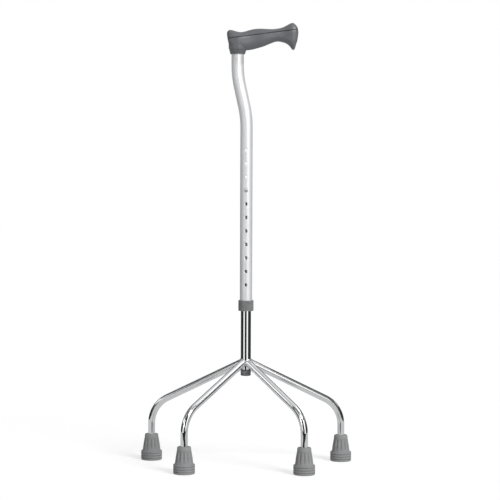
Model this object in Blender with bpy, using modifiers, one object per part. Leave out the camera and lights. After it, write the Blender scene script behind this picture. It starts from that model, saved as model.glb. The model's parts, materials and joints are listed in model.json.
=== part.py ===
"""Quad cane: a walking stick of adjustable height that stands on four bent legs.

Metres, +Z up. The origin is on the floor, under the middle of the base. The stem stands at
X = 0, the grip points along +X, and the two shorter legs reach out towards -Y.
"""

import math

import bmesh
import bpy
from mathutils import Matrix, Vector

# Clearances
FIT = 0.0003  # between parts that touch, and round a part that slides or turns
MERGE = 0.00001

# Outer tube with its swan neck
TUBE_DIAMETER = 0.0232
TUBE_WALL = 0.0016
TUBE_FOOT_Z = 0.3002
TUBE_TOP_Z = 0.7957
NECK_FOOT_Z = 0.6365  # where the lower bend of the neck starts
NECK_OFFSET = 0.0170
NECK_RADIUS = 0.186
NECK_ANGLE = math.radians(12.5)

# Row of height holes, drilled through both walls of the outer tube
HOLE_DIAMETER = 0.00635
HOLE_PITCH = 0.0254
HOLE_COUNT = 11
TOP_HOLE_Z = 0.5951
BUTTON_HOLE = 3  # the button stands in the fourth hole from the top, counted from 0

# Stem, the inner tube that carries the base
STEM_WALL = 0.0015
STEM_RUNNING_GAP = 0.0004
STEM_ABOVE_BUTTON = 0.0150
STEM_BELOW_ROOT = 0.0168  # how far its foot stands under the legs' root

# Spring button and its leaf
BUTTON_PROUD = 0.0015
BUTTON_FLANGE_DIAMETER = 0.0090
BUTTON_FLANGE_THICKNESS = 0.0012
LEAF_WIDTH = 0.0060
LEAF_THICKNESS = 0.0005
LEAF_LENGTH = 0.0380
LEAF_BEND_RADIUS = 0.0015

# Locking collar and what it squeezes
COLLAR_DIAMETER = 0.0292
COLLAR_HEIGHT = 0.0199
COLLAR_LIP = 0.0025
COLLAR_CHAMFER = 0.0006
SLEEVE_WALL = 0.0009
SLIP_WASHER_THICKNESS = 0.0010
CLAMP_RING_HEIGHT = 0.0040
CLAMP_RING_SLIT = 0.0015

# Plug in the foot of the stem
END_PLUG_HEIGHT = 0.0120
END_PLUG_PROUD = 0.0003
END_PLUG_STUB = 0.0140

# Legs
LEG_DIAMETER = 0.0135
LEG_WALL = 0.0012
LEG_ROOT_Z = 0.1978  # where the legs' centre lines meet on the stem's axis
LEG_CORNER_Z = 0.1050  # where a leg's slope would meet its upright end
LEG_BEND_RADIUS = 0.0570
LONG_FOOT_X = 0.1819
LONG_FOOT_Y = 0.0505
SHORT_FOOT_X = 0.1103
SHORT_FOOT_Y = 0.1078

# Ferrules, the rubber feet
FERRULE_HEIGHT = 0.0498
FERRULE_TOP_DIAMETER = 0.0250
FERRULE_STEP_Z = 0.0335
FERRULE_STEP_DIAMETER = 0.0300
FERRULE_STEP = 0.0004
FERRULE_CONE_DIAMETER = 0.0352
FERRULE_BASE_DIAMETER = 0.0400
FERRULE_BASE_HEIGHT = 0.0175
FERRULE_EDGE = 0.0010
FERRULE_FLOOR = 0.0100
FERRULE_WASHER_DIAMETER = 0.0164
FERRULE_WASHER_HOLE = 0.0040
FERRULE_WASHER_THICKNESS = 0.0014

# Handle, in its own frame: x from the tube's axis, z up from the foot of its socket
SOCKET_DEPTH = 0.0214  # how far the tube reaches into the handle
BOSS_RADIUS = 0.0171
BOSS_WAIST_Z = 0.0100  # where the boss starts to draw in
BOSS_FOOT_RADIUS = 0.0146
BOSS_EDGE = 0.0010
WEB_THICKNESS = 0.0042
PARTING_Z = 0.0313  # height of the parting plane on the tube's axis
PARTING_SLOPE = 0.1313
PARTING_GAP = 0.0004
HANDLE_SQUARENESS = 2.6  # exponent of the rounded cross-section
HANDLE_TOP = (
    (-0.0205, 0.0375),
    (-0.0200, 0.0408),
    (-0.0178, 0.0437),
    (-0.0140, 0.0452),
    (0.0060, 0.0410),
    (0.0282, 0.0463),
    (0.0430, 0.0475),
    (0.0650, 0.0467),
    (0.0797, 0.0486),
    (0.0872, 0.0513),
    (0.0984, 0.0572),
    (0.1022, 0.0585),
    (0.1059, 0.0570),
    (0.1097, 0.0535),
    (0.1125, 0.0483),
    (0.1137, 0.0410),
)
HANDLE_UNDERSIDE = (
    (-0.0205, 0.0375),
    (-0.0193, 0.0292),
    (-0.0182, 0.0236),
    (-0.0160, 0.0165),
    (-0.0090, 0.0110),
    (0.0050, 0.0080),
    (0.0200, 0.0074),
    (0.0384, 0.0115),
    (0.0497, 0.0150),
    (0.0609, 0.0198),
    (0.0735, 0.0237),
    (0.0872, 0.0215),
    (0.0940, 0.0180),
    (0.0984, 0.0138),
    (0.1015, 0.0092),
    (0.1040, 0.0080),
    (0.1070, 0.0100),
    (0.1092, 0.0180),
    (0.1117, 0.0255),
    (0.1128, 0.0330),
    (0.1137, 0.0410),
)
HANDLE_HALF_WIDTH = (
    (-0.0205, 0.0030),
    (-0.0192, 0.0100),
    (-0.0140, 0.0150),
    (-0.0030, 0.0172),
    (0.0080, 0.0164),
    (0.0200, 0.0141),
    (0.0320, 0.0134),
    (0.0480, 0.0141),
    (0.0750, 0.0133),
    (0.0880, 0.0137),
    (0.1000, 0.0160),
    (0.1060, 0.0159),
    (0.1105, 0.0128),
    (0.1137, 0.0040),
)
HANDLE_STATIONS = 26
HANDLE_SECTION_POINTS = 20
PEG_PLACES = (0.0450, 0.0850)
PEG_DIAMETER = 0.0050
PEG_LENGTH = 0.0070

# Handle fixing
SCREW_DIAMETER = 0.0040
SCREW_LENGTH = 0.0230
SCREW_HEAD_DIAMETER = 0.0080
SCREW_HEAD_HEIGHT = 0.0026
WASHER_DIAMETER = 0.0120
WASHER_THICKNESS = 0.0012
HEAD_ROOM = 0.0012
TUBE_PLUG_LENGTH = 0.0190
TUBE_PLUG_FLANGE = 0.0015

# Blank label on the neck of the tube
LABEL_HEIGHT = 0.0160
LABEL_BELOW_HANDLE = 0.0028
LABEL_SPAN = math.radians(150)
LABEL_THICKNESS = 0.0002

# Facets
TUBE_SIDES = 24
LEG_SIDES = 16
TURNED_STEPS = 24
FERRULE_STEPS = 20
SMALL_STEPS = 12
BEND_STEP = math.radians(9.5)
CUT_SIDES = 12
REACH = 0.05  # how far a cutter stands out of what it cuts

# Places and sizes that follow from the ones above
TUBE_RADIUS = TUBE_DIAMETER / 2
TUBE_BORE = TUBE_RADIUS - TUBE_WALL
STEM_RADIUS = TUBE_BORE - STEM_RUNNING_GAP
STEM_BORE = STEM_RADIUS - STEM_WALL
BUTTON_Z = TOP_HOLE_Z - BUTTON_HOLE * HOLE_PITCH
STEM_TOP_Z = BUTTON_Z + STEM_ABOVE_BUTTON
STEM_FOOT_Z = LEG_ROOT_Z - STEM_BELOW_ROOT
BUTTON_RADIUS = HOLE_DIAMETER / 2 - FIT
LEG_RADIUS = LEG_DIAMETER / 2
FERRULE_BASE_RADIUS = FERRULE_BASE_DIAMETER / 2
WASHER_POCKET_TOP_Z = FERRULE_FLOOR + FERRULE_WASHER_THICKNESS + 2 * FIT
LEG_FOOT_Z = FERRULE_FLOOR + FERRULE_WASHER_THICKNESS + 2 * FIT
STEM_Y = (SHORT_FOOT_Y - LONG_FOOT_Y) / 2
HANDLE_FOOT_Z = TUBE_TOP_Z - SOCKET_DEPTH
LABEL_FOOT_Z = HANDLE_FOOT_Z - LABEL_BELOW_HANDLE - LABEL_HEIGHT
CLAMP_RING_Z = TUBE_FOOT_Z - FIT - CLAMP_RING_HEIGHT
SLIP_WASHER_Z = CLAMP_RING_Z - FIT - SLIP_WASHER_THICKNESS
COLLAR_LIP_Z = SLIP_WASHER_Z - FIT
COLLAR_FOOT_Z = COLLAR_LIP_Z - COLLAR_LIP
COLLAR_TOP_Z = COLLAR_FOOT_Z + COLLAR_HEIGHT
SLEEVE_OUTER = TUBE_RADIUS + FIT + SLEEVE_WALL
COLLAR_BORE = SLEEVE_OUTER + FIT
FEET = {
    "inner_front": (-LONG_FOOT_X, LONG_FOOT_Y),
    "inner_rear": (LONG_FOOT_X, LONG_FOOT_Y),
    "outer_front": (-SHORT_FOOT_X, -SHORT_FOOT_Y),
    "outer_rear": (SHORT_FOOT_X, -SHORT_FOOT_Y),
}


def clear_scene():
    """Removes what the start-up file holds."""
    for item in list(bpy.data.objects):
        bpy.data.objects.remove(item)
    for group in list(bpy.data.collections):
        bpy.data.collections.remove(group)


def new_collection(name):
    group = bpy.data.collections.new(name)
    bpy.context.scene.collection.children.link(group)
    return group


def new_material(name, colour, roughness, metallic=0.0):
    """A Principled material with one colour."""
    material = bpy.data.materials.new(name)
    material.use_nodes = True
    material.diffuse_color = (*colour, 1.0)
    shader = material.node_tree.nodes["Principled BSDF"]
    shader.inputs["Base Color"].default_value = (*colour, 1.0)
    shader.inputs["Roughness"].default_value = roughness
    shader.inputs["Metallic"].default_value = metallic
    return material


class Kit:
    """The collections, the finishes and the empties that the parts hang from."""

    def __init__(self):
        self.parts = new_collection("quad_cane")
        self.cutters = new_collection("cutters")
        self.finishes = {
            "handle_grey": ((0.13, 0.135, 0.145), 0.55, 0.0),
            "tube_aluminium": ((0.78, 0.79, 0.80), 0.32, 1.0),
            "stem_chrome": ((0.86, 0.87, 0.88), 0.08, 1.0),
            "collar_grey": ((0.20, 0.20, 0.20), 0.60, 0.0),
            "ferrule_rubber": ((0.22, 0.22, 0.22), 0.75, 0.0),
            "plug_black": ((0.06, 0.06, 0.065), 0.50, 0.0),
            "nylon_white": ((0.80, 0.80, 0.76), 0.45, 0.0),
            "zinc_steel": ((0.62, 0.62, 0.60), 0.30, 1.0),
            "spring_steel": ((0.45, 0.46, 0.48), 0.30, 1.0),
            "label_film": ((0.85, 0.85, 0.84), 0.40, 0.0),
        }
        self.base = self.empty("base", None, (0, STEM_Y, 0))
        self.button = self.empty("button", self.base, (0, 0, BUTTON_Z))
        self.clamp = self.empty("clamp", self.base, (0, 0, 0))
        self.upper = self.empty("upper", self.clamp, (0, 0, 0))
        self.slip = self.empty("slip", self.upper, (0, 0, 0))
        self.collar = self.empty("collar", self.slip, (0, 0, 0))

    def empty(self, name, parent, location):
        item = bpy.data.objects.new(name + "_frame", None)
        item.location = location
        item.parent = parent
        self.parts.objects.link(item)
        return item

    def add(self, item, finish, parent):
        """Makes the object one of the parts, with a finish of its own."""
        self.parts.objects.link(item)
        item.parent = parent
        item.data.materials.clear()
        item.data.materials.append(new_material(item.name, *self.finishes[finish]))
        return item

    def add_cutter(self, item, parent):
        """Keeps the object as a cutter, which is neither rendered nor built."""
        self.cutters.objects.link(item)
        item.parent = parent
        item.hide_render = True
        item.display_type = "WIRE"
        return item


def mesh_object(name, shape):
    """An object from a bmesh, smooth where its faces nearly line up."""
    mesh = bpy.data.meshes.new(name)
    shape.to_mesh(mesh)
    shape.free()
    mesh.shade_smooth()
    mesh.set_sharp_from_angle(angle=math.radians(35))
    return bpy.data.objects.new(name, mesh)


def turned(name, profile, steps, closed):
    """A profile of (radius, z) turned about Z. It runs down the outer side."""
    shape = bmesh.new()
    points = [shape.verts.new((radius, 0, z)) for radius, z in profile]
    for start, end in zip(points, points[1:]):
        shape.edges.new((start, end))
    if closed:
        shape.edges.new((points[-1], points[0]))
    item = mesh_object(name, shape)
    screw = item.modifiers.new("turn", "SCREW")
    screw.axis = "Z"
    screw.steps = steps
    screw.render_steps = steps
    screw.use_merge_vertices = True
    screw.merge_threshold = MERGE
    return item


def ring(name, inner, outer, low, high, steps=TURNED_STEPS):
    profile = ((outer, high), (outer, low), (inner, low), (inner, high))
    return turned(name, profile, steps, closed=True)


def rods(name, radius, spans, sides=CUT_SIDES):
    """Closed cylinders in one mesh, each between the two points of its span."""
    shape = bmesh.new()
    for start, end in spans:
        along = Vector(end) - Vector(start)
        turn = Vector((0, 0, 1)).rotation_difference(along).to_matrix().to_4x4()
        bmesh.ops.create_cone(
            shape,
            cap_ends=True,
            segments=sides,
            radius1=radius,
            radius2=radius,
            depth=along.length,
            matrix=Matrix.Translation(Vector(start) + along / 2) @ turn,
        )
    return mesh_object(name, shape)


def box(name, low, high, turn=None):
    """A closed box between two corners, turned about the frame's origin if asked."""
    low = Vector(low)
    high = Vector(high)
    size = high - low
    shape = bmesh.new()
    matrix = Matrix.Translation((low + high) / 2) @ Matrix.Diagonal((*size, 1))
    bmesh.ops.create_cube(shape, size=1, matrix=(turn or Matrix()) @ matrix)
    return mesh_object(name, shape)


def open_tube(name, points, radius, sides):
    """The mesh of a tube's outer skin along a path, open at both ends."""
    data = bpy.data.curves.new(name, "CURVE")
    data.dimensions = "3D"
    data.bevel_depth = radius
    data.bevel_resolution = (sides - 4) // 2
    spline = data.splines.new("POLY")
    spline.points.add(len(points) - 1)
    for place, point in zip(spline.points, points):
        place.co = (*point, 1)
    guide = bpy.data.objects.new(name + "_path", data)
    bpy.context.scene.collection.objects.link(guide)
    graph = bpy.context.evaluated_depsgraph_get()
    mesh = bpy.data.meshes.new_from_object(guide.evaluated_get(graph))
    shape = bmesh.new()
    shape.from_mesh(mesh)
    bmesh.ops.remove_doubles(shape, verts=shape.verts, dist=MERGE)
    item = mesh_object(name, shape)
    item.matrix_world = guide.matrix_world
    bpy.data.objects.remove(guide)
    bpy.data.meshes.remove(mesh)
    return item


def hollow_tube(name, points, radius, wall, sides):
    """A tube along a path, with its wall inside the given radius."""
    item = open_tube(name, points, radius, sides)
    skin = item.modifiers.new("wall", "SOLIDIFY")
    skin.thickness = wall
    skin.offset = -1
    skin.use_even_offset = True
    return item


def boolean(item, other, operation="DIFFERENCE"):
    step = item.modifiers.new(operation.lower(), "BOOLEAN")
    step.operation = operation
    step.object = other
    step.solver = "EXACT"


def arc(centre, radius, start, end):
    """Points of a flat arc as (across, up), in steps of about BEND_STEP."""
    count = max(2, math.ceil(abs(end - start) / BEND_STEP))
    for index in range(count + 1):
        angle = start + (end - start) * index / count
        yield centre[0] + radius * math.cos(angle), centre[1] + radius * math.sin(angle)


def smooth_value(points, x):
    """The height at x of a smooth line through the points, which are in order of x."""
    last = len(points) - 2
    index = min(max(i for i in range(len(points)) if points[i][0] <= x or i == 0), last)
    (x0, z0), (x1, z1) = points[index], points[index + 1]
    before = points[max(index - 1, 0)]
    after = points[min(index + 2, last + 1)]
    span = x1 - x0
    slope0 = (z1 - before[1]) / (x1 - before[0]) * span
    slope1 = (after[1] - z0) / (after[0] - x0) * span
    t = (x - x0) / span
    return (
        z0 * (2 * t**3 - 3 * t**2 + 1)
        + slope0 * (t**3 - 2 * t**2 + t)
        + z1 * (3 * t**2 - 2 * t**3)
        + slope1 * (t**3 - t**2)
    )


def neck_path():
    """Centre line of the outer tube, from its foot up through the swan neck."""
    across = NECK_OFFSET - 2 * NECK_RADIUS * (1 - math.cos(NECK_ANGLE))
    straight = across / math.sin(NECK_ANGLE)
    rise = 2 * NECK_RADIUS * math.sin(NECK_ANGLE) + straight * math.cos(NECK_ANGLE)
    neck_top_z = NECK_FOOT_Z + rise
    lower = arc((-NECK_RADIUS, NECK_FOOT_Z), NECK_RADIUS, 0, NECK_ANGLE)
    upper_centre = (NECK_RADIUS - NECK_OFFSET, neck_top_z)
    upper = arc(upper_centre, NECK_RADIUS, math.pi + NECK_ANGLE, math.pi)
    flat = [(0, TUBE_FOOT_Z), *lower, *upper, (-NECK_OFFSET, TUBE_TOP_Z)]
    return [(x, 0, z) for x, z in flat]


def make_outer_tube(kit):
    tube = hollow_tube("outer_tube", neck_path(), TUBE_RADIUS, TUBE_WALL, TUBE_SIDES)
    kit.add(tube, "tube_aluminium", kit.upper)
    heights = [TOP_HOLE_Z - index * HOLE_PITCH for index in range(HOLE_COUNT)]
    drill = rods("hole_drill", HOLE_DIAMETER / 2, [((0, -REACH, z), (0, REACH, z)) for z in heights])
    boolean(tube, kit.add_cutter(drill, kit.upper))


def make_label(kit):
    """A blank film round the front of the neck."""
    shape = bmesh.new()
    radius = TUBE_RADIUS + FIT
    top = shape.verts.new((radius, 0, LABEL_HEIGHT))
    foot = shape.verts.new((radius, 0, 0))
    shape.edges.new((top, foot))
    label = mesh_object("tube_label", shape)
    screw = label.modifiers.new("turn", "SCREW")
    screw.axis = "Z"
    screw.angle = LABEL_SPAN
    screw.steps = SMALL_STEPS
    screw.render_steps = SMALL_STEPS
    skin = label.modifiers.new("film", "SOLIDIFY")
    skin.thickness = LABEL_THICKNESS
    skin.offset = 1
    kit.add(label, "label_film", kit.upper)
    label.location = (-NECK_OFFSET, 0, LABEL_FOOT_Z)
    label.rotation_euler = (0, 0, -math.pi / 2 - LABEL_SPAN / 2)


def make_tube_plug(kit):
    """The plug in the tube's top that the handle's screw bites into."""
    top = TUBE_PLUG_FLANGE
    bore = SCREW_DIAMETER / 2 + FIT
    body = TUBE_BORE - FIT
    profile = (
        (bore, top),
        (TUBE_RADIUS, top),
        (TUBE_RADIUS, 0),
        (body, 0),
        (body, -TUBE_PLUG_LENGTH),
        (bore, -TUBE_PLUG_LENGTH),
    )
    plug = turned("tube_plug", profile, TURNED_STEPS, closed=True)
    kit.add(plug, "nylon_white", kit.upper)
    plug.location = (-NECK_OFFSET, 0, TUBE_TOP_Z + FIT)


def handle_loft(name):
    """The whole grip as a loft of rounded sections along X, before it is parted."""
    start, end = HANDLE_TOP[0][0], HANDLE_TOP[-1][0]
    shape = bmesh.new()
    loops = []
    for index in range(HANDLE_STATIONS):
        share = (1 - math.cos(math.pi * (index + 0.5) / HANDLE_STATIONS)) / 2
        x = start + (end - start) * share
        top = smooth_value(HANDLE_TOP, x)
        underside = smooth_value(HANDLE_UNDERSIDE, x)
        width = smooth_value(HANDLE_HALF_WIDTH, x)
        loops.append([])
        for step in range(HANDLE_SECTION_POINTS):
            angle = 2 * math.pi * (step + 0.5) / HANDLE_SECTION_POINTS
            across = squared(math.cos(angle)) * width
            up = squared(math.sin(angle)) * (top - underside) / 2
            loops[-1].append(shape.verts.new((x, across, (top + underside) / 2 + up)))
    for first, second in zip(loops, loops[1:]):
        for step in range(HANDLE_SECTION_POINTS):
            after = (step + 1) % HANDLE_SECTION_POINTS
            shape.faces.new((first[step], second[step], second[after], first[after]))
    shape.faces.new(loops[0])
    shape.faces.new(reversed(loops[-1]))
    bmesh.ops.recalc_face_normals(shape, faces=shape.faces)
    return mesh_object(name, shape)


def squared(value):
    """A sine or cosine pushed out towards a rounded square."""
    return math.copysign(abs(value) ** (2 / HANDLE_SQUARENESS), value)


def parting_height(x):
    return PARTING_Z + PARTING_SLOPE * x


def parting_box(name, above):
    """The half of space over or under the parting plane, less half of its gap."""
    tilt = Matrix.Rotation(-math.atan(PARTING_SLOPE), 4, "Y")
    turn = Matrix.Translation((0, 0, PARTING_Z)) @ tilt
    wide = 4 * REACH
    if above:
        return box(name, (-wide, -wide, -PARTING_GAP / 2), (wide, wide, wide), turn)
    return box(name, (-wide, -wide, -wide), (wide, wide, PARTING_GAP / 2), turn)


def peg_spans(below, above):
    """Spans along the pegs, from below the parting plane to above it."""
    feet = [Vector((x, 0, parting_height(x))) for x in PEG_PLACES]
    return [(foot - Vector((0, 0, below)), foot + Vector((0, 0, above))) for foot in feet]


def make_handle(kit):
    """The grip's two mouldings, parted by a sloping plane and pegged together."""
    place = (-NECK_OFFSET, 0, HANDLE_FOOT_Z)
    socket_top = SOCKET_DEPTH + TUBE_PLUG_FLANGE + 2 * FIT
    seat = socket_top + WEB_THICKNESS
    head_top = seat + WASHER_THICKNESS + SCREW_HEAD_HEIGHT + 2 * FIT
    well = WASHER_DIAMETER / 2 + HEAD_ROOM

    body = kit.add(handle_loft("handle_body"), "handle_grey", kit.upper)
    cap = kit.add(handle_loft("handle_cap"), "handle_grey", kit.upper)
    profile = (
        (0, parting_height(2 * BOSS_RADIUS)),
        (BOSS_RADIUS, parting_height(2 * BOSS_RADIUS)),
        (BOSS_RADIUS, BOSS_WAIST_Z),
        (BOSS_FOOT_RADIUS, 3 * BOSS_EDGE),
        (BOSS_FOOT_RADIUS - BOSS_EDGE, 0),
        (0, 0),
    )
    bore = (
        (0, seat + REACH),
        (well, seat + REACH),
        (well, seat),
        (SCREW_DIAMETER / 2 + FIT, seat),
        (SCREW_DIAMETER / 2 + FIT, socket_top),
        (TUBE_RADIUS + FIT, socket_top),
        (TUBE_RADIUS + FIT, -REACH),
        (0, -REACH),
    )
    tools = {
        "boss": turned("boss", profile, TURNED_STEPS, closed=False),
        "over": parting_box("over_parting", above=True),
        "under": parting_box("under_parting", above=False),
        "bore": turned("stepped_bore", bore, TUBE_SIDES, closed=False),
        "cap_well": rods("cap_well", well, [((0, 0, 0), (0, 0, head_top + HEAD_ROOM))]),
        "pegs": rods("pegs", PEG_DIAMETER / 2, peg_spans(PEG_LENGTH, PEG_DIAMETER)),
        "peg_holes": rods("peg_holes", PEG_DIAMETER / 2 + FIT, peg_spans(PEG_LENGTH + FIT, REACH)),
    }
    for tool in tools.values():
        kit.add_cutter(tool, kit.upper)
    for item in (body, cap, *tools.values()):
        item.location = place

    boolean(body, tools["boss"], "UNION")
    for cutter in ("over", "peg_holes", "bore"):
        boolean(body, tools[cutter])
    for cutter in ("under", "cap_well"):
        boolean(cap, tools[cutter])
    boolean(cap, tools["pegs"], "UNION")

    washer = ring(
        "handle_washer",
        SCREW_DIAMETER / 2 + FIT,
        WASHER_DIAMETER / 2,
        0,
        WASHER_THICKNESS,
        SMALL_STEPS,
    )
    kit.add(washer, "zinc_steel", kit.upper)
    washer.location = (*place[:2], HANDLE_FOOT_Z + seat + FIT)
    make_handle_screw(kit, washer.location.z + WASHER_THICKNESS + FIT)


def make_handle_screw(kit, seat_z):
    """A pan-head screw, with its origin under the head."""
    head = SCREW_HEAD_DIAMETER / 2
    shank = SCREW_DIAMETER / 2
    profile = (
        (0, SCREW_HEAD_HEIGHT),
        (head * 0.7, SCREW_HEAD_HEIGHT),
        (head, SCREW_HEAD_HEIGHT / 2),
        (head, 0),
        (shank, 0),
        (shank, -SCREW_LENGTH + shank),
        (0, -SCREW_LENGTH),
    )
    screw = turned("handle_screw", profile, SMALL_STEPS, closed=False)
    kit.add(screw, "zinc_steel", kit.upper)
    screw.location = (-NECK_OFFSET, 0, seat_z)


def make_collar(kit):
    """The threaded sleeve on the tube and the collar that squeezes a ring on the stem."""
    sleeve_foot = TUBE_FOOT_Z + FIT
    sleeve = ring(
        "threaded_sleeve",
        TUBE_RADIUS + FIT,
        SLEEVE_OUTER,
        sleeve_foot,
        COLLAR_TOP_Z - COLLAR_CHAMFER,
    )
    kit.add(sleeve, "collar_grey", kit.upper)

    clamp_low, clamp_high = CLAMP_RING_Z, CLAMP_RING_Z + CLAMP_RING_HEIGHT
    clamp = ring("clamp_ring", STEM_RADIUS + FIT, SLEEVE_OUTER - FIT, clamp_low, clamp_high)
    kit.add(clamp, "nylon_white", kit.clamp)
    slit = CLAMP_RING_SLIT / 2
    low = (-slit, 0, clamp_low - REACH)
    high = (slit, REACH, clamp_high + REACH)
    boolean(clamp, kit.add_cutter(box("clamp_slit", low, high), kit.clamp))

    washer_top = SLIP_WASHER_Z + SLIP_WASHER_THICKNESS
    washer = ring("slip_washer", STEM_RADIUS + FIT, SLEEVE_OUTER, SLIP_WASHER_Z, washer_top)
    kit.add(washer, "zinc_steel", kit.slip)

    outer = COLLAR_DIAMETER / 2
    edge = outer - COLLAR_CHAMFER
    profile = (
        (edge, COLLAR_TOP_Z),
        (outer, COLLAR_TOP_Z - COLLAR_CHAMFER),
        (outer, COLLAR_FOOT_Z + COLLAR_CHAMFER),
        (edge, COLLAR_FOOT_Z),
        (STEM_RADIUS + FIT, COLLAR_FOOT_Z),
        (STEM_RADIUS + FIT, COLLAR_LIP_Z),
        (COLLAR_BORE, COLLAR_LIP_Z),
        (COLLAR_BORE, COLLAR_TOP_Z),
    )
    kit.add(turned("locking_collar", profile, TURNED_STEPS, True), "collar_grey", kit.collar)


def make_stem(kit):
    """The chromed inner tube, with one hole in front for the spring button."""
    path = [(0, 0, STEM_FOOT_Z), (0, 0, STEM_TOP_Z)]
    stem = hollow_tube("stem_tube", path, STEM_RADIUS, STEM_WALL, TUBE_SIDES)
    kit.add(stem, "stem_chrome", kit.base)
    span = ((0, 0, BUTTON_Z), (0, -REACH, BUTTON_Z))
    drill = rods("button_drill", HOLE_DIAMETER / 2, [span])
    boolean(stem, kit.add_cutter(drill, kit.base))

    flange = STEM_RADIUS + END_PLUG_PROUD
    stub = STEM_BORE - FIT
    round_edge = END_PLUG_HEIGHT / 8
    profile = (
        (0, END_PLUG_STUB),
        (stub - round_edge, END_PLUG_STUB),
        (stub, END_PLUG_STUB - round_edge),
        (stub, 0),
        (flange, 0),
        (flange, round_edge - END_PLUG_HEIGHT),
        (flange - round_edge, -END_PLUG_HEIGHT),
        (0, -END_PLUG_HEIGHT),
    )
    plug = turned("stem_end_plug", profile, TURNED_STEPS, closed=False)
    kit.add(plug, "plug_black", kit.base)
    plug.location = (0, 0, STEM_FOOT_Z - FIT)


def make_button(kit):
    """The button, turned about the line it is pressed along, and its V-shaped leaf."""
    flange = BUTTON_FLANGE_DIAMETER / 2
    flange_face = math.sqrt(STEM_BORE**2 - flange**2) - FIT
    flange_back = flange_face - BUTTON_FLANGE_THICKNESS
    nose = TUBE_RADIUS + BUTTON_PROUD
    profile = (
        (0, nose),
        (BUTTON_RADIUS * 0.6, nose - BUTTON_PROUD * 0.15),
        (BUTTON_RADIUS, nose - BUTTON_PROUD),
        (BUTTON_RADIUS, flange_face),
        (flange, flange_face),
        (flange, flange_back),
        (0, flange_back),
    )
    button = turned("snap_button", profile, SMALL_STEPS, closed=False)
    kit.add(button, "zinc_steel", kit.button)
    button.rotation_euler = (math.pi / 2, 0, 0)
    make_leaf(kit, flange_back - FIT - LEAF_THICKNESS / 2)


def make_leaf(kit, front):
    """A spring strip bent to a V: one end behind the button, the other on the back wall."""
    back = math.sqrt(STEM_BORE**2 - (LEAF_WIDTH / 2) ** 2) - FIT - LEAF_THICKNESS / 2
    pad = BUTTON_FLANGE_DIAMETER / 2
    fold = (front - back) / 2
    path = [
        (front, pad),
        (front, -pad),
        *arc((fold, -LEAF_LENGTH), LEAF_BEND_RADIUS, 0, -math.pi),
        (-back, -pad),
        (-back, 0),
    ]
    data = bpy.data.curves.new("snap_spring", "CURVE")
    data.dimensions = "2D"
    data.fill_mode = "BOTH"
    data.extrude = LEAF_WIDTH / 2
    spline = data.splines.new("POLY")
    outline = ribbon(path, LEAF_THICKNESS)
    spline.points.add(len(outline) - 1)
    spline.use_cyclic_u = True
    for place, point in zip(spline.points, outline):
        place.co = (*point, 0, 1)
    leaf = bpy.data.objects.new("snap_spring", data)
    kit.add(leaf, "spring_steel", kit.base)
    # The outline's x points towards the button, its y up and its thickness across.
    turn = Matrix(((0, 0, -1), (-1, 0, 0), (0, 1, 0))).to_4x4()
    leaf.matrix_local = Matrix.Translation((0, 0, BUTTON_Z)) @ turn


def ribbon(path, thickness):
    """The closed outline of a strip that follows a flat path."""
    points = [Vector(point) for point in path]
    one_side = []
    other_side = []
    for index, point in enumerate(points):
        before = points[max(index - 1, 0)]
        after = points[min(index + 1, len(points) - 1)]
        along = (after - before).normalized()
        aside = Vector((-along.y, along.x)) * thickness / 2
        one_side.append(point + aside)
        other_side.append(point - aside)
    return one_side + other_side[::-1]


def leg_path(foot):
    """Centre line of a leg: down a slope from the stem, round a bend, then upright."""
    reach = math.hypot(*foot)
    slope = math.atan((LEG_ROOT_Z - LEG_CORNER_Z) / reach)
    tangent = LEG_BEND_RADIUS * math.tan((math.pi / 2 - slope) / 2)
    centre = (reach - LEG_BEND_RADIUS, LEG_CORNER_Z - tangent)
    bend = arc(centre, LEG_BEND_RADIUS, math.pi / 2 - slope, 0)
    flat = [(0, LEG_ROOT_Z), *bend, (reach, LEG_FOOT_Z)]
    return [(foot[0] / reach * out, foot[1] / reach * out, z) for out, z in flat]


def wedge(name, foot, neighbour):
    """The side of the mitre plane between two legs that the neighbour stands on."""
    middle = Vector(foot).normalized() + Vector(neighbour).normalized()
    side = math.atan2(middle.y, middle.x)
    turn = Matrix.Rotation(side, 4, "Z")
    towards = turn.inverted() @ Vector((*neighbour, 0))
    low, high = (-FIT / 2, 2 * REACH) if towards.y > 0 else (-2 * REACH, FIT / 2)
    return box(name, (-REACH, low, 0), (4 * REACH, high, LEG_ROOT_Z + REACH), turn)


def make_legs(kit):
    """Four bent tubes, each coped round the stem and mitred where it meets the next."""
    order = ("inner_front", "outer_front", "outer_rear", "inner_rear")
    span = ((0, 0, LEG_ROOT_Z - REACH), (0, 0, LEG_ROOT_Z + REACH))
    cope = rods("stem_cope", STEM_RADIUS + FIT, [span], TUBE_SIDES)
    kit.add_cutter(cope, kit.base)
    for index, place in enumerate(order):
        foot = FEET[place]
        leg = hollow_tube(f"leg_{place}", leg_path(foot), LEG_RADIUS, LEG_WALL, LEG_SIDES)
        kit.add(leg, "stem_chrome", kit.base)
        boolean(leg, cope)
        for step in (-1, 1):
            if 0 <= index + step < len(order):
                other = order[index + step]
                cutter = wedge(f"mitre_{place}_{other}", foot, FEET[other])
                boolean(leg, kit.add_cutter(cutter, kit.base))


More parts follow.
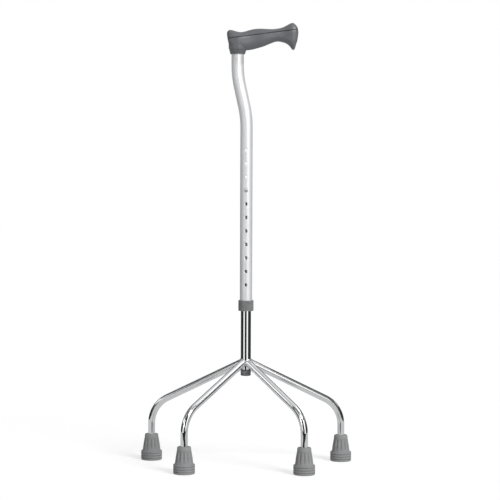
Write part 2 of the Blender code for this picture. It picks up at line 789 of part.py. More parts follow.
def make_ferrules(kit):
    """The rubber feet, each with a steel washer under the end of its leg."""
    socket = LEG_RADIUS + FIT
    pocket = FERRULE_WASHER_DIAMETER / 2 + FIT
    base = FERRULE_BASE_RADIUS
    step = FERRULE_STEP_DIAMETER / 2
    profile = (
        (0, FERRULE_FLOOR),
        (pocket, FERRULE_FLOOR),
        (pocket, WASHER_POCKET_TOP_Z),
        (socket, WASHER_POCKET_TOP_Z),
        (socket, FERRULE_HEIGHT),
        (FERRULE_TOP_DIAMETER / 2 - FERRULE_EDGE, FERRULE_HEIGHT),
        (FERRULE_TOP_DIAMETER / 2, FERRULE_HEIGHT - FERRULE_EDGE),
        (step, FERRULE_STEP_Z),
        (step + FERRULE_STEP, FERRULE_STEP_Z - FERRULE_STEP),
        (FERRULE_CONE_DIAMETER / 2, FERRULE_BASE_HEIGHT),
        (base - FERRULE_EDGE / 2, FERRULE_BASE_HEIGHT),
        (base, FERRULE_BASE_HEIGHT - FERRULE_EDGE / 2),
        (base, FERRULE_EDGE),
        (base - FERRULE_EDGE, 0),
        (0, 0),
    )
    for place, foot in FEET.items():
        ferrule = turned(f"ferrule_{place}", profile, FERRULE_STEPS, closed=False)
        kit.add(ferrule, "ferrule_rubber", kit.base)
        ferrule.location = (*foot, 0)
        washer = ring(
            f"ferrule_washer_{place}",
            FERRULE_WASHER_HOLE / 2,
            FERRULE_WASHER_DIAMETER / 2,
            FERRULE_FLOOR + FIT,
            FERRULE_FLOOR + FIT + FERRULE_WASHER_THICKNESS,
            SMALL_STEPS,
        )
        kit.add(washer, "zinc_steel", kit.base)
        washer.location = (*foot, 0)


def main():
    clear_scene()
    kit = Kit()
    make_ferrules(kit)
    make_legs(kit)
    make_stem(kit)
    make_button(kit)
    make_collar(kit)
    make_outer_tube(kit)
    make_label(kit)
    make_tube_plug(kit)
    make_handle(kit)


if __name__ == "__main__":
    main()
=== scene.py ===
"""Quad cane: the finished look of a walking cane on four bent legs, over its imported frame."""

import json
import math

import bmesh
import bpy
from bpy.props import FloatProperty, FloatVectorProperty, IntProperty, PointerProperty
from mathutils import Matrix, Vector


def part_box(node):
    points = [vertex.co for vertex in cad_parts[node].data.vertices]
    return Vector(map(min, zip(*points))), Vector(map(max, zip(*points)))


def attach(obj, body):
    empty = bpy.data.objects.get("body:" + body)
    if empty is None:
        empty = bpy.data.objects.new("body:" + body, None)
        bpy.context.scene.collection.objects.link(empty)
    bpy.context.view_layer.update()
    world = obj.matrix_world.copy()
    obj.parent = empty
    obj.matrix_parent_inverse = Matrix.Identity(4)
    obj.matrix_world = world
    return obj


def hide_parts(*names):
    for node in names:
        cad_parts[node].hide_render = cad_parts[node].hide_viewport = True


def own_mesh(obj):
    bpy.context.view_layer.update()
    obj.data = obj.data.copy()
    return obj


bl_info = {
    "name": "Quad cane",
    "version": (1, 0, 0),
    "blender": (4, 5, 0),
    "location": "View3D > Sidebar > Quad cane",
    "description": "Builds the finished pieces of a quad cane over its frame",
    "category": "Object",
}

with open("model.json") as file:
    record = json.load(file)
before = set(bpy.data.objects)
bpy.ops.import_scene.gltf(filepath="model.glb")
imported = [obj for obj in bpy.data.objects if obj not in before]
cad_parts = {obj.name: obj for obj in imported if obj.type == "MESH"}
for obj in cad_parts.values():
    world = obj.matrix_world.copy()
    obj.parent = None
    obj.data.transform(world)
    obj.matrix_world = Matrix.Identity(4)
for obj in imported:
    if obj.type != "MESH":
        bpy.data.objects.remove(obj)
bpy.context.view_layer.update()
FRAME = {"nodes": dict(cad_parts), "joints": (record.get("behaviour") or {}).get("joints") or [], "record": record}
RECORD_COLOURS = {entry["slot"]: entry["base_color"] for entry in FRAME["record"]["materials"]}

LEGS = ("inner_front", "inner_rear", "outer_front", "outer_rear")
STEM_LOW, STEM_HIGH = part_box("stem_tube")
TUBE_LOW, TUBE_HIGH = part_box("outer_tube")
COLLAR_LOW, COLLAR_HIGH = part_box("locking_collar")
AXIS_Y = (STEM_LOW.y + STEM_HIGH.y) / 2

WHITE = (1, 1, 1, 1)

# The curved screens: how far from the stem, the sides of a whole circle of them, and the play in
# degrees at their ends
SCREEN_RADIUS = 1.35
SCREEN_SIDES = 360
SCREEN_PLAY = 0.1

# The floor: its sides, and how far under the soles it lies
FLOOR_SIZE = 24
FLOOR_DROP = 0.0002

# The camera: its place from the cane's axis, its height, its turns in degrees and its lens
CAMERA_PLACE = (0.0073, -3.4, 0)
CAMERA_HEIGHT = 0.5723
CAMERA_YAW = 1.15
CAMERA_TILT = 90 - 2.79
CAMERA_ROLL = 0.20
CAMERA_LENS = 130
CAMERA_SENSOR = 36
CAMERA_CLIP = 40

# The gap that seated and sliding pieces keep, and distances that count as none
EASE = 0.0003
SAME = 1e-5
DOUBLES = 1e-6

# Screens that only reflections see: from and to an azimuth in degrees round the stem, from and to
# a height, and how bright. Azimuth 0 is towards the camera, and the right is positive.
SCREENS = (
    (-160, -100, 0.0, 0.50, 0.06),
    (-160, -100, 0.50, 0.90, 0.42),
    (-160, -100, 0.90, 1.6, 0.16),
    (-100, -54, 0.0, 0.30, 0.025),
    (-100, -54, 0.30, 0.52, 0.12),
    (-100, -76, 0.52, 0.80, 1.25),
    (-100, -76, 0.80, 1.6, 0.05),
    (-76, -62, 0.52, 0.95, 1.25),
    (-76, -66, 0.95, 1.6, 0.05),
    (-66, -62, 0.95, 1.6, 1.25),
    (-62, -54, 0.52, 1.0, 0.05),
    (-62, -54, 1.0, 1.6, 1.25),
    (-54, -24, 0.0, 0.30, 1.05),
    (-54, -38, 0.30, 0.60, 0.10),
    (-38, -24, 0.30, 0.60, 4.20),
    (-54, -24, 0.60, 0.88, 1.20),
    (-54, -24, 0.88, 1.6, 0.05),
    (-24, 19, 0.0, 0.95, 0.025),
    (-24, 6, 0.95, 1.6, 0.20),
    (6, 22, 1.0, 1.6, 8.00),
    (19, 51, 0.0, 0.30, 1.10),
    (19, 51, 0.30, 0.95, 1.30),
    (22, 51, 0.95, 1.6, 0.40),
    (51, 100, 0.0, 0.30, 0.03),
    (51, 100, 0.30, 0.62, 0.10),
    (51, 72, 0.62, 0.95, 0.42),
    (72, 100, 0.62, 0.95, 0.15),
    (51, 100, 0.95, 1.15, 0.08),
    (51, 72, 1.15, 1.6, 1.70),
    (72, 100, 1.15, 1.6, 0.25),
    (100, 160, 0.0, 0.50, 0.04),
    (100, 128, 0.50, 0.75, 0.60),
    (128, 160, 0.50, 0.75, 0.08),
    (100, 160, 0.75, 1.6, 0.08),
    (160, 200, 0.0, 1.6, 0.18),
)

# Flat screens: from and to an x, from and to a y, at a height, and how bright
FLAT_SCREENS = (
    (-2.4, -0.7, -0.8, 0.5, 2.0, 0.20),
    (-2.4, -0.7, 0.5, 1.9, 2.0, 0.38),
    (-0.7, 0.5, -0.8, 1.9, 2.0, 0.76),
    (0.5, 1.25, -0.8, 0.2, 2.0, 1.80),
    (0.5, 1.25, 0.2, 1.9, 2.0, 0.75),
    (1.25, 2.4, -0.8, 0.5, 2.0, 1.40),
    (1.25, 2.4, 0.5, 1.9, 2.0, 0.36),
    (-2.4, 2.4, -2.0, -0.8, 2.0, 0.38),
    (-0.9, 0.9, -1.4, -0.46, 0.0, 0.02),
    (-0.16, 0.16, -0.46, -0.27, 0.0, 0.02),
)


# The grip's outline, read along X from the tube's axis and up from the socket's foot
GRIP_TOP = (
    (-0.0205, 0.0375),
    (-0.0200, 0.0408),
    (-0.0178, 0.0437),
    (-0.0140, 0.0452),
    (0.0060, 0.0410),
    (0.0282, 0.0463),
    (0.0430, 0.0475),
    (0.0650, 0.0467),
    (0.0797, 0.0486),
    (0.0872, 0.0513),
    (0.0984, 0.0572),
    (0.1022, 0.0585),
    (0.1059, 0.0570),
    (0.1097, 0.0535),
    (0.1125, 0.0483),
    (0.1137, 0.0410),
)
GRIP_UNDERSIDE = (
    (-0.0205, 0.0375),
    (-0.0193, 0.0292),
    (-0.0182, 0.0236),
    (-0.0160, 0.0165),
    (-0.0090, 0.0110),
    (0.0050, 0.0080),
    (0.0200, 0.0074),
    (0.0384, 0.0115),
    (0.0497, 0.0150),
    (0.0609, 0.0198),
    (0.0735, 0.0237),
    (0.0872, 0.0215),
    (0.0940, 0.0180),
    (0.0984, 0.0138),
    (0.1015, 0.0092),
    (0.1040, 0.0080),
    (0.1070, 0.0100),
    (0.1092, 0.0180),
    (0.1117, 0.0255),
    (0.1128, 0.0330),
    (0.1137, 0.0410),
)
GRIP_HALF_WIDTH = (
    (-0.0205, 0.0030),
    (-0.0192, 0.0100),
    (-0.0140, 0.0150),
    (-0.0030, 0.0172),
    (0.0080, 0.0164),
    (0.0200, 0.0141),
    (0.0320, 0.0134),
    (0.0480, 0.0141),
    (0.0750, 0.0133),
    (0.0880, 0.0137),
    (0.1000, 0.0160),
    (0.1060, 0.0159),
    (0.1105, 0.0128),
    (0.1137, 0.0040),
)

GRIP_STATIONS = 64
GRIP_CORNER = 0.78
SKIN_SMOOTHING = 6

# Where the boss is blended into the grip: how far from its side, between which heights over the
# socket's foot, and how far behind the tube's axis. Then how often it is smoothed.
BLEND_REACH = 0.0036
BLEND_LOW = 0.0095
BLEND_HIGH = 0.030
BLEND_HEEL = 0.010
BLEND_SMOOTHING = 14

# The boss round the tube: in from its side, and up from the socket's foot
BOSS = ((0.0013, 0.0074), (0.0006, 0.0092), (0.0002, 0.0112), (0.0, 0.0132), (0.0, 0.0330))

# The rim under the boss: radius, and up from the socket's foot
SOCKET_RIM = (
    (0.0134, 0.0),
    (0.0139, 0.0003),
    (0.0142, 0.0009),
    (0.0146, 0.0030),
    (0.0141, 0.0032),
    (0.0141, 0.0036),
    (0.0149, 0.0039),
    (0.0152, 0.0050),
    (0.0156, 0.0071),
    (0.0150, 0.0073),
    (0.0150, 0.0080),
    (0.0120, 0.0080),
)
# Creases of the rim up from the socket's foot, which get painted shade, its chamfer, and how far that shade fades
# from a crease
RIM_CREASES = (0.0032, 0.0036, 0.0073, 0.0080)
RIM_CHAMFER = 0.0006
CREASE_SHADE_SPREAD = 0.0001

# The parting line's land, tongue and groove, how strong the painted shade is on the line and how
# far it spreads from there
PARTING_LAND = 0.0010
TONGUE_INSET = 0.0003
TONGUE_STEP = 0.00002
TONGUE_HEIGHT = 0.0013
GROOVE_DEPTH = 0.0015
PARTING_SHADE = 1.9
PARTING_SPREAD = 0.0006

# A height hole's chamfer, how far its drill stands past the tube, and the stem's drill
HOLE_CHAMFER = 0.0006
DRILL_PAST = 0.0014
STEM_DRILL_RADIUS = 0.0032
STEM_DRILL_LENGTH = 0.03

# The blank label: over the tube from and to, its rounded corners, and how deep in radii behind its
# front it is cut out
FILM_FROM = 0.0001
FILM_TO = 0.00022
FILM_CORNER = 0.0022
FILM_DEPTH = 0.8

# The button: its flange's thickness, and its dome as share of its radius and down from its crown
BUTTON_FLANGE = 0.0012
BUTTON_DOME = (
    (1.0, 0.0016),
    (0.965, 0.0010),
    (0.86, 0.00055),
    (0.68, 0.00025),
    (0.42, 0.00008),
    (0.15, 0.0),
)

SPRING_THICKNESS = 0.0005
SPRING_BEND = 0.0015

# A ridge of the sleeve's thread: 0 for its root or 1 for its crest, and up from its foot
THREAD_RIDGE = ((0, 0.0), (1, 0.0006), (1, 0.0009), (0, 0.0015))
THREAD_DEPTH = 0.0005
THREAD_PITCH = 0.0020

# The collar's plain rims: in from the outside, and along from the end. Between a rim and the
# knurled band runs a groove, cut so far below the knurls' valleys.
COLLAR_RIM = 0.0012
COLLAR_BAND = 0.0018
COLLAR_GROOVE = 0.0003
COLLAR_GROOVE_SPAN = (0.00145, 0.0017)
COLLAR_EDGE = ((0.0009, 0.0), (0.0003, 0.00022), (0.00004, 0.0007), (0.00004, COLLAR_RIM))
COLLAR_CHAMFER = 0.0004
KNURL_NEAR = 0.0002

# The plug in the stem's foot: a dimple as share of the radius and height, the side as in from the
# outside and height, and the shoulder as in from the outside and down from the stem's foot
PLUG_DIMPLE = ((0.30, 0.0004), (0.62, 0.0004), (0.66, 0.0))
PLUG_SIDE = (
    (0.0022, 0.0),
    (0.0009, 0.0004),
    (0.0002, 0.0014),
    (0.0002, 0.0036),
    (0.0007, 0.0039),
    (0.0007, 0.0046),
    (0.0002, 0.0049),
)
PLUG_STUB = 0.0022
PLUG_SHOULDER = ((0.0, 0.0004), (0.0003, 0.0), (PLUG_STUB, 0.0))

# The tool that copes a leg: how far inside the stem's skin, and how far over the legs' root
COPE_INSET = 0.0001
COPE_OVER = 0.04

# The weld beads: steps round a leg and how much they swell, and the same for the seam between two
# legs, with its reach in degrees either way and its share of a bead's radius
WELD_STEPS = 84
WELD_RIPPLE = 0.22
SEAM_STEPS = 25
SEAM_REACH = 88
SEAM_RIPPLE = 0.2
SEAM_SHARE = 0.75

# A rubber foot's sole: the rings' shares of its radius, and a ring's groove as across and up
SOLE_INSET = 0.0012
SOLE_CORE = 0.28
SOLE_DIMPLE = 0.34
SOLE_DIMPLE_DEPTH = 0.0014
SOLE_RINGS = (0.50, 0.72)
SOLE_RING = ((0.0, 0.0), (0.0004, 0.0010), (0.0014, 0.0010), (0.0018, 0.0))

# Its flange: the lower edge as in and up, a groove as in and up from each groove's height, and the
# upper edge as in and down from the flange's top
FLANGE_TOP = 0.0175
FLANGE_FOOT = ((0.0004, 0.0004), (0.0001, 0.0011))
FLANGE_GROOVES = (0.0046, 0.0092, 0.0140)
FLANGE_GROOVE_DEPTH = 0.0009
FLANGE_GROOVE = (
    (0.0, -0.0007),
    (FLANGE_GROOVE_DEPTH, -0.0004),
    (FLANGE_GROOVE_DEPTH, 0.0004),
    (0.0, 0.0007),
)
FLANGE_EDGE = ((0.0, 0.0009), (0.0002, 0.0003), (0.0008, 0.0))

# Its cone and neck as radius and height, its brim as radius and down from the top, and its socket's
# mouth as out from the socket and down from the top
NECK_RADIUS = 0.01295
FOOT_CONE = (
    (0.0179, 0.0175),
    (0.0174, 0.0181),
    (0.0171, 0.0193),
    (0.0165, 0.0232),
    (0.0160, 0.0275),
    (0.0154, 0.0318),
    (0.01515, 0.0336),
    (0.01490, 0.0340),
    (0.01445, 0.0370),
    (0.0139, 0.0405),
    (0.01355, 0.0419),
    (NECK_RADIUS, 0.0423),
    (NECK_RADIUS, 0.0428),
    (0.0132, 0.0432),
    (0.0130, 0.0460),
)
FOOT_BRIM = ((0.0127, 0.0011), (0.0123, 0.0004), (0.0116, 0.0))
SOCKET_MOUTH = ((0.0008, 0.0), (0.0, 0.0006))
SOCKET_PLAY = 0.0002
SOCKET_FLOOR = 0.0116

# Painted shade lies under the foot's outline, outside a radius and above a height, and is full so
# deep under it
HOLLOW_SHADE_RADIUS = 0.0115
HOLLOW_SHADE_FLOOR = 0.001
HOLLOW_SHADE_DEPTH = 0.0020

# The flutes: the sides of each, how far from its middle each level reaches with its share of the
# depth, and the heights of the cone's rings with the share of the depth there
FLUTE_SIDES = 12
FLUTE_LEVELS = ((0.14, 1.0), (0.23, 0.7), (0.32, 0.25))
FLUTE_RINGS = (
    (0.0232, 0.6),
    (0.0275, 1.0),
    (0.0318, 1.0),
    (0.0336, 1.0),
    (0.0340, 1.0),
    (0.0370, 0.9),
    (0.0405, 0.8),
)


def length(name, description, default):
    """A length in metres for the sidebar."""
    return FloatProperty(
        name=name, description=description, default=default, unit="LENGTH", precision=5
    )


def colour(name, description, slot):
    """A colour for the sidebar, taken from the record's own finish."""
    return FloatVectorProperty(
        name=name,
        description=description,
        default=RECORD_COLOURS[slot],
        subtype="COLOR",
        min=0,
        max=1,
    )


class CaneTubeSizes(bpy.types.PropertyGroup):
    diameter: length("Diameter", "Outside of the outer tube", 0.0232)
    wall: length("Wall", "Wall of the outer tube", 0.0016)
    neck_foot: length("Neck foot", "Height at which the swan neck starts", 0.6365)
    neck_offset: length("Neck offset", "How far the neck carries the tube aside", 0.0170)
    neck_radius: length("Neck radius", "Radius of the neck's two bends", 0.186)
    neck_angle: FloatProperty(
        name="Neck angle",
        description="Lean of the tube between the two bends",
        default=math.radians(12.5),
        subtype="ANGLE",
    )
    top_hole: length("Top hole", "Height of the highest hole", 0.5951)
    hole_pitch: length("Hole pitch", "Distance from hole to hole", 0.0254)
    hole_diameter: length("Hole diameter", "Width of a height hole", 0.00635)
    hole_count: IntProperty(name="Holes", description="How many height holes", default=11, min=1)


class CaneBaseSizes(bpy.types.PropertyGroup):
    stem_diameter: length("Stem diameter", "Outside of the chromed stem", 0.0192)
    stem_wall: length("Stem wall", "Wall of the chromed stem", 0.0015)
    leg_diameter: length("Leg diameter", "Outside of a leg", 0.0135)
    leg_root: length("Leg root", "Height at which the legs' centre lines meet", 0.1978)
    leg_corner: length("Leg corner", "Height at which slope and upright would meet", 0.1050)
    leg_bend: length("Leg bend", "Radius of a leg's bend", 0.0570)
    leg_foot: length("Leg foot", "Height of a leg's end in its rubber foot", 0.0120)
    weld_bead: length("Weld bead", "Radius of a weld bead", 0.0013)
    flutes: IntProperty(name="Flutes", description="Flutes round a rubber foot", default=12, min=3)
    flute_depth: length("Flute depth", "Depth of a flute", 0.0013)


class CaneGripSizes(bpy.types.PropertyGroup):
    axis_x: length("Axis", "Where the tube's axis stands under the grip", -0.0170)
    foot: length("Foot", "Height of the socket's foot", 0.7743)
    boss_radius: length("Boss radius", "Radius of the boss round the tube", 0.0171)
    parting: length("Parting", "Height of the parting line over the socket's foot", 0.0313)
    parting_slope: FloatProperty(
        name="Parting slope",
        description="Rise of the parting line along the grip",
        default=0.1313,
    )
    parting_gap: length("Parting gap", "Gap between the two mouldings", 0.0004)
    lip: length("Lip", "Chamfer along the parting line", 0.0005)
    voxel: length("Voxel", "Grain of the blend between boss and grip", 0.0006)


class CaneCollarSizes(bpy.types.PropertyGroup):
    bore: length("Bore", "Radius of the threaded bore", 0.0131)
    lip_thickness: length("Lip", "Thickness of the lip under the slip washer", 0.0025)
    knurl_depth: length("Knurl depth", "Height of a knurl over its valleys", 0.00060)
    knurl_count: IntProperty(
        name="Knurls", description="Knurls round the collar", default=40, min=12
    )
    knurl_rows: IntProperty(name="Rows", description="Rows of knurls", default=8, min=2)


class CaneColours(bpy.types.PropertyGroup):
    grip: colour("Grip", "Moulded grip", "handle_grey")
    tube: colour("Tube", "Anodised outer tube", "tube_aluminium")
    chrome: colour("Chrome", "Plated stem and legs", "stem_chrome")
    collar: colour("Collar", "Knurled collar", "collar_grey")
    rubber: colour("Rubber", "Rubber feet", "ferrule_rubber")
    plug: colour("Plug", "Plug in the stem's foot", "plug_black")
    nylon: colour("Nylon", "Plug and ring inside the tubes", "nylon_white")
    zinc: colour("Zinc", "Button, screw and washers", "zinc_steel")
    spring: colour("Spring", "Leaf spring", "spring_steel")
    film: colour("Film", "Blank label", "label_film")


# Shader maths


class Wire:
    """A socket of a node tree, or what maths on it gives."""

    def __init__(self, nodes, socket):
        self.nodes = nodes
        self.socket = socket

    def __add__(self, other):
        return self.nodes.maths("ADD", self, other)

    def __rsub__(self, other):
        return self.nodes.maths("SUBTRACT", other, self)

    def __mul__(self, other):
        return self.nodes.maths("MULTIPLY", self, other)

    __radd__ = __add__
    __rmul__ = __mul__


class Nodes:
    """The node tree of a material or of the world, and what adds to it."""

    def __init__(self, owner, bare=False):
        owner.use_nodes = True
        self.tree = owner.node_tree
        if bare:
            self.tree.nodes.clear()

    def feed(self, socket, value):
        """Links a wire to a socket, or gives the socket a value."""
        if isinstance(value, Wire):
            self.tree.links.new(value.socket, socket)
        else:
            socket.default_value = value

    def node(self, kind, settings=None, values=(), output=0):
        """Adds a node, sets it, feeds its sockets and gives one of its outputs, if it has any."""
        item = self.tree.nodes.new(kind)
        for key, value in (settings or {}).items():
            if key == "stops":
                self.set_stops(item.color_ramp, value)
            else:
                setattr(item, key, value)
        pairs = values.items() if isinstance(values, dict) else enumerate(values)
        for key, value in pairs:
            self.feed(item.inputs[key], value)
        return Wire(self, item.outputs[output]) if item.outputs else None

    @staticmethod
    def set_stops(ramp, stops):
        """Gives a ramp its stops, each a place and a grey."""
        while len(ramp.elements) < len(stops):
            ramp.elements.new(1.0)
        for element, (place, grey) in zip(ramp.elements, stops):
            element.position = place
            element.color = (grey, grey, grey, 1.0)

    def maths(self, operation, *values):
        return self.node("ShaderNodeMath", {"operation": operation}, values)


class Finish(Nodes):
    """A material and the nodes that give it its colour, gloss and grain."""

    def __init__(self, name, base, roughness, metallic=0.0, specular=0.5):
        self.material = bpy.data.materials.new(name)
        super().__init__(self.material)
        self.material.diffuse_color = (*base, 1.0)
        self.base = tuple(base)
        self.shader = self.tree.nodes["Principled BSDF"]
        self.shader.inputs["Base Color"].default_value = (*base, 1.0)
        self.shader.inputs["Roughness"].default_value = roughness
        self.shader.inputs["Metallic"].default_value = metallic
        self.shader.inputs["Specular IOR Level"].default_value = specular

    def place(self, stretch=(1, 1, 1)):
        """Object coordinates in metres, stretched."""
        points = self.node("ShaderNodeTexCoord", output="Object")
        settings = {"vector_type": "POINT"}
        return self.node("ShaderNodeMapping", settings, {"Vector": points, "Scale": stretch})

    def along(self, name, stretch):
        """A piece's own point attribute, stretched."""
        points = self.node("ShaderNodeAttribute", {"attribute_name": name}, output="Vector")
        return self.node("ShaderNodeVectorMath", {"operation": "MULTIPLY"}, (points, stretch))

    def grime(self):
        """How much painted shade the piece has at each of its vertices."""
        return self.node("ShaderNodeAttribute", {"attribute_name": "grime"}, output="Fac")

    def noise(self, points, scale, detail, rough):
        values = {"Vector": points, "Scale": scale, "Detail": detail, "Roughness": rough}
        return self.node("ShaderNodeTexNoise", {}, values, output="Fac")

    def ramp(self, value, *stops):
        return self.node("ShaderNodeValToRGB", {"stops": stops}, (value,))

    def mix(self, factor, *colours):
        """A colour between two colours."""
        first, second = ((*c, 1.0) if isinstance(c, tuple) else c for c in colours)
        values = {0: factor, 6: first, 7: second}
        return self.node("ShaderNodeMix", {"data_type": "RGBA"}, values, output=2)

    def tint(self, share):
        """The base colour, lighter or darker by a share."""
        return tuple(min(1.0, part * (1 + share)) for part in self.base)

    def bump(self, height, strength, distance, below=None):
        values = {"Height": height, "Strength": strength, "Distance": distance}
        if below:
            values["Normal"] = below
        return self.node("ShaderNodeBump", {}, values)

    def dress(self, tone, roughness, normal):
        """Feeds the shader with what changes over the surface."""
        for name, wire in (("Base Color", tone), ("Roughness", roughness), ("Normal", normal)):
            self.feed(self.shader.inputs[name], wire)
        return self


FINISHES = {}


def moulded_grip(base):
    """Grey soft-touch moulding: fine stipple, faint flow marks, a polish where the palm rests."""
    finish = Finish("moulded_grip", base, 0.5, specular=0.42)
    places = finish.place()
    stipple = finish.noise(places, scale=2600, detail=2.0, rough=0.55)
    pores = finish.noise(places, scale=900, detail=3.0, rough=0.6)
    flow = finish.noise(finish.place((18, 60, 60)), scale=1.0, detail=4.0, rough=0.6)
    palm = finish.noise(places, scale=45, detail=4.0, rough=0.6)
    worn = finish.ramp(palm, (0.42, 0.0), (0.68, 1.0))
    mottled = finish.mix(flow, finish.tint(-0.10), finish.tint(0.12))
    # Painted shade: darker along the parting line and in the rim's creases
    tone = finish.mix(finish.grime() * 0.9, mottled, finish.tint(-0.65))
    grain = finish.bump(stipple, strength=0.30, distance=0.00006)
    pitted = finish.bump(pores, strength=0.22, distance=0.00015, below=grain)
    return finish.dress(tone, 0.36 - 0.07 * worn + 0.08 * stipple, pitted)


def satin_aluminium(base):
    """Drawn and anodised tube: hair lines along it, with a soft haze over them."""
    finish = Finish("satin_aluminium", base, 0.45, metallic=0.58)
    hair = finish.noise(finish.along("drawn", (3200, 3200, 14)), scale=1.0, detail=3.0, rough=0.6)
    band = finish.noise(finish.along("drawn", (420, 420, 5)), scale=1.0, detail=2.0, rough=0.5)
    haze = finish.noise(finish.place(), scale=38, detail=4.0, rough=0.6)
    tone = finish.mix(band, finish.tint(-0.06), finish.tint(0.05))
    lines = finish.bump(hair, strength=0.12, distance=0.00003)
    return finish.dress(tone, 0.42 + 0.10 * hair + 0.06 * haze, lines)


def bright_chrome(name, base, cloud):
    """Bright plating with faint smears and a trace of the steel's own drawing lines."""
    finish = Finish(name, base, 0.06, metallic=1.0)
    smear = finish.noise(finish.place((1, 1, 0.4)), scale=60, detail=4.0, rough=0.65)
    specks = finish.noise(finish.place(), scale=420, detail=2.0, rough=0.5)
    spots = finish.ramp(specks, (0.62, 0.0), (0.74, 1.0))
    wave = finish.noise(finish.place(), scale=240, detail=2.0, rough=0.5)
    tone = finish.mix(smear, finish.tint(-0.03), finish.tint(0.02))
    waved = finish.bump(wave, strength=0.02, distance=0.00002)
    return finish.dress(tone, cloud + 0.04 * smear + 0.04 * spots, waved)


def fluted_rubber(base):
    """Matt grey rubber: cloudy, dusty near the floor, with a fine open grain."""
    finish = Finish("fluted_rubber", base, 0.75, specular=0.35)
    places = finish.place()
    cloud = finish.noise(finish.place((40, 40, 25)), scale=1.0, detail=4.0, rough=0.6)
    grain = finish.noise(places, scale=1800, detail=3.0, rough=0.6)
    height = finish.node("ShaderNodeSeparateXYZ", {}, (places,), output="Z")
    low = finish.ramp(height * 100, (0.05, 1.0), (0.9, 0.0))
    patches = finish.noise(places, scale=160, detail=4.0, rough=0.7)
    dust = low * finish.ramp(patches, (0.35, 0.0), (0.75, 1.0))
    mottled = finish.mix(cloud, finish.tint(0.0), finish.tint(0.26))
    dusty = finish.mix(0.12 + dust * 0.20, mottled, (0.26, 0.28, 0.31))
    # Painted shade: darker in the flutes, the flange's grooves and the neck
    tone = finish.mix(finish.grime() * 0.60, dusty, finish.tint(-0.55))
    open_grain = finish.bump(grain, strength=0.30, distance=0.00012)
    return finish.dress(tone, 0.66 + 0.12 * grain + 0.08 * cloud, open_grain)


def moulded_part(name, base, roughness, grain_scale, dust=0.0):
    """A small moulding with a fine grain, a little variation and a share of dust."""
    finish = Finish(name, base, roughness, specular=0.45)
    places = finish.place()
    grain = finish.noise(places, scale=grain_scale, detail=3.0, rough=0.6)
    cloud = finish.noise(places, scale=70, detail=3.0, rough=0.6)
    patches = finish.noise(places, scale=240, detail=3.0, rough=0.6)
    settled = finish.ramp(patches, (0.38, 0.0), (0.62, 1.0))
    mottled = finish.mix(cloud, finish.tint(-0.10), finish.tint(0.12))
    dusty = finish.mix(settled * dust, mottled, (0.40, 0.41, 0.43))
    # Painted shade: darker in the hollows that the piece marks, such as the collar's knurl valleys
    tone = finish.mix(finish.grime() * 0.5, dusty, finish.tint(-0.55))
    fine = finish.bump(grain, strength=0.25, distance=0.00008)
    return finish.dress(tone, (roughness - 0.05) + 0.12 * grain, fine)


def plated_steel(name, base, roughness):
    """A small steel part with a spangled plating."""
    finish = Finish(name, base, roughness, metallic=1.0)
    spangle = finish.noise(finish.place(), scale=900, detail=2.0, rough=0.5)
    scratch = finish.noise(finish.place((400, 400, 3000)), scale=1.0, detail=2.0, rough=0.6)
    tone = finish.mix(spangle, finish.tint(-0.10), finish.tint(0.10))
    scored = finish.bump(scratch, strength=0.10, distance=0.00003)
    return finish.dress(tone, (roughness - 0.06) + 0.10 * spangle + 0.06 * scratch, scored)


def blank_film(base):
    """A bare satin film: even, with a faint ripple of its glue."""
    finish = Finish("blank_film", base, 0.4, metallic=0.55)
    ripple = finish.noise(finish.place((1, 1, 2)), scale=260, detail=3.0, rough=0.5)
    age = finish.noise(finish.place(), scale=90, detail=3.0, rough=0.6)
    grey = sum(base) / 3
    tone = finish.mix(age, (grey * 0.84,) * 3, (grey * 0.95,) * 3)
    rippled = finish.bump(ripple, strength=0.12, distance=0.00005)
    return finish.dress(tone, 0.34 + 0.10 * age, rippled)


def make_finishes(colours):
    FINISHES.update(
        grip=moulded_grip(colours.grip),
        tube=satin_aluminium(colours.tube),
        chrome=bright_chrome("bright_chrome", colours.chrome, cloud=0.03),
        weld=bright_chrome("plated_weld", colours.chrome, cloud=0.12),
        collar=moulded_part(
            "knurled_plastic", colours.collar, roughness=0.52, grain_scale=1600, dust=0.36
        ),
        rubber=fluted_rubber(colours.rubber),
        plug=moulded_part(
            "black_moulding", colours.plug, roughness=0.22, grain_scale=1400, dust=0.45
        ),
        nylon=moulded_part("natural_nylon", colours.nylon, roughness=0.45, grain_scale=1200),
        zinc=plated_steel("zinc_plate", colours.zinc, roughness=0.32),
        spring=plated_steel("spring_strip", colours.spring, roughness=0.30),
        film=blank_film(colours.film),
    )


# Modelling as by hand


def deselect_all():
    if bpy.context.object and bpy.context.object.mode != "OBJECT":
        bpy.ops.object.mode_set(mode="OBJECT")
    bpy.ops.object.select_all(action="DESELECT")


def activate(item):
    deselect_all()
    item.select_set(True)
    bpy.context.view_layer.objects.active = item


def select_all():
    bpy.ops.mesh.select_all(action="SELECT")


def edit(item, kind="VERT"):
    """Opens a piece in edit mode with all of it selected."""
    activate(item)
    bpy.ops.object.mode_set(mode="EDIT")
    bpy.ops.mesh.select_mode(type=kind)
    select_all()


def leave_edit():
    bpy.ops.object.mode_set(mode="OBJECT")


def settle(item):
    """Applies a piece's place, turn and scale to its mesh."""
    activate(item)
    bpy.ops.object.transform_apply(location=True, rotation=True, scale=True)


def select(item, kind, test):
    """In edit mode, selects the verts, edges or faces that pass the test, and counts them."""
    bpy.ops.mesh.select_mode(type=kind[:-1].upper())
    bpy.ops.mesh.select_all(action="DESELECT")
    shape = bmesh.from_edit_mesh(item.data)
    chosen = [element for element in getattr(shape, kind) if test(element)]
    for element in chosen:
        element.select_set(True)
    shape.select_flush_mode()
    bmesh.update_edit_mesh(item.data)
    return len(chosen)


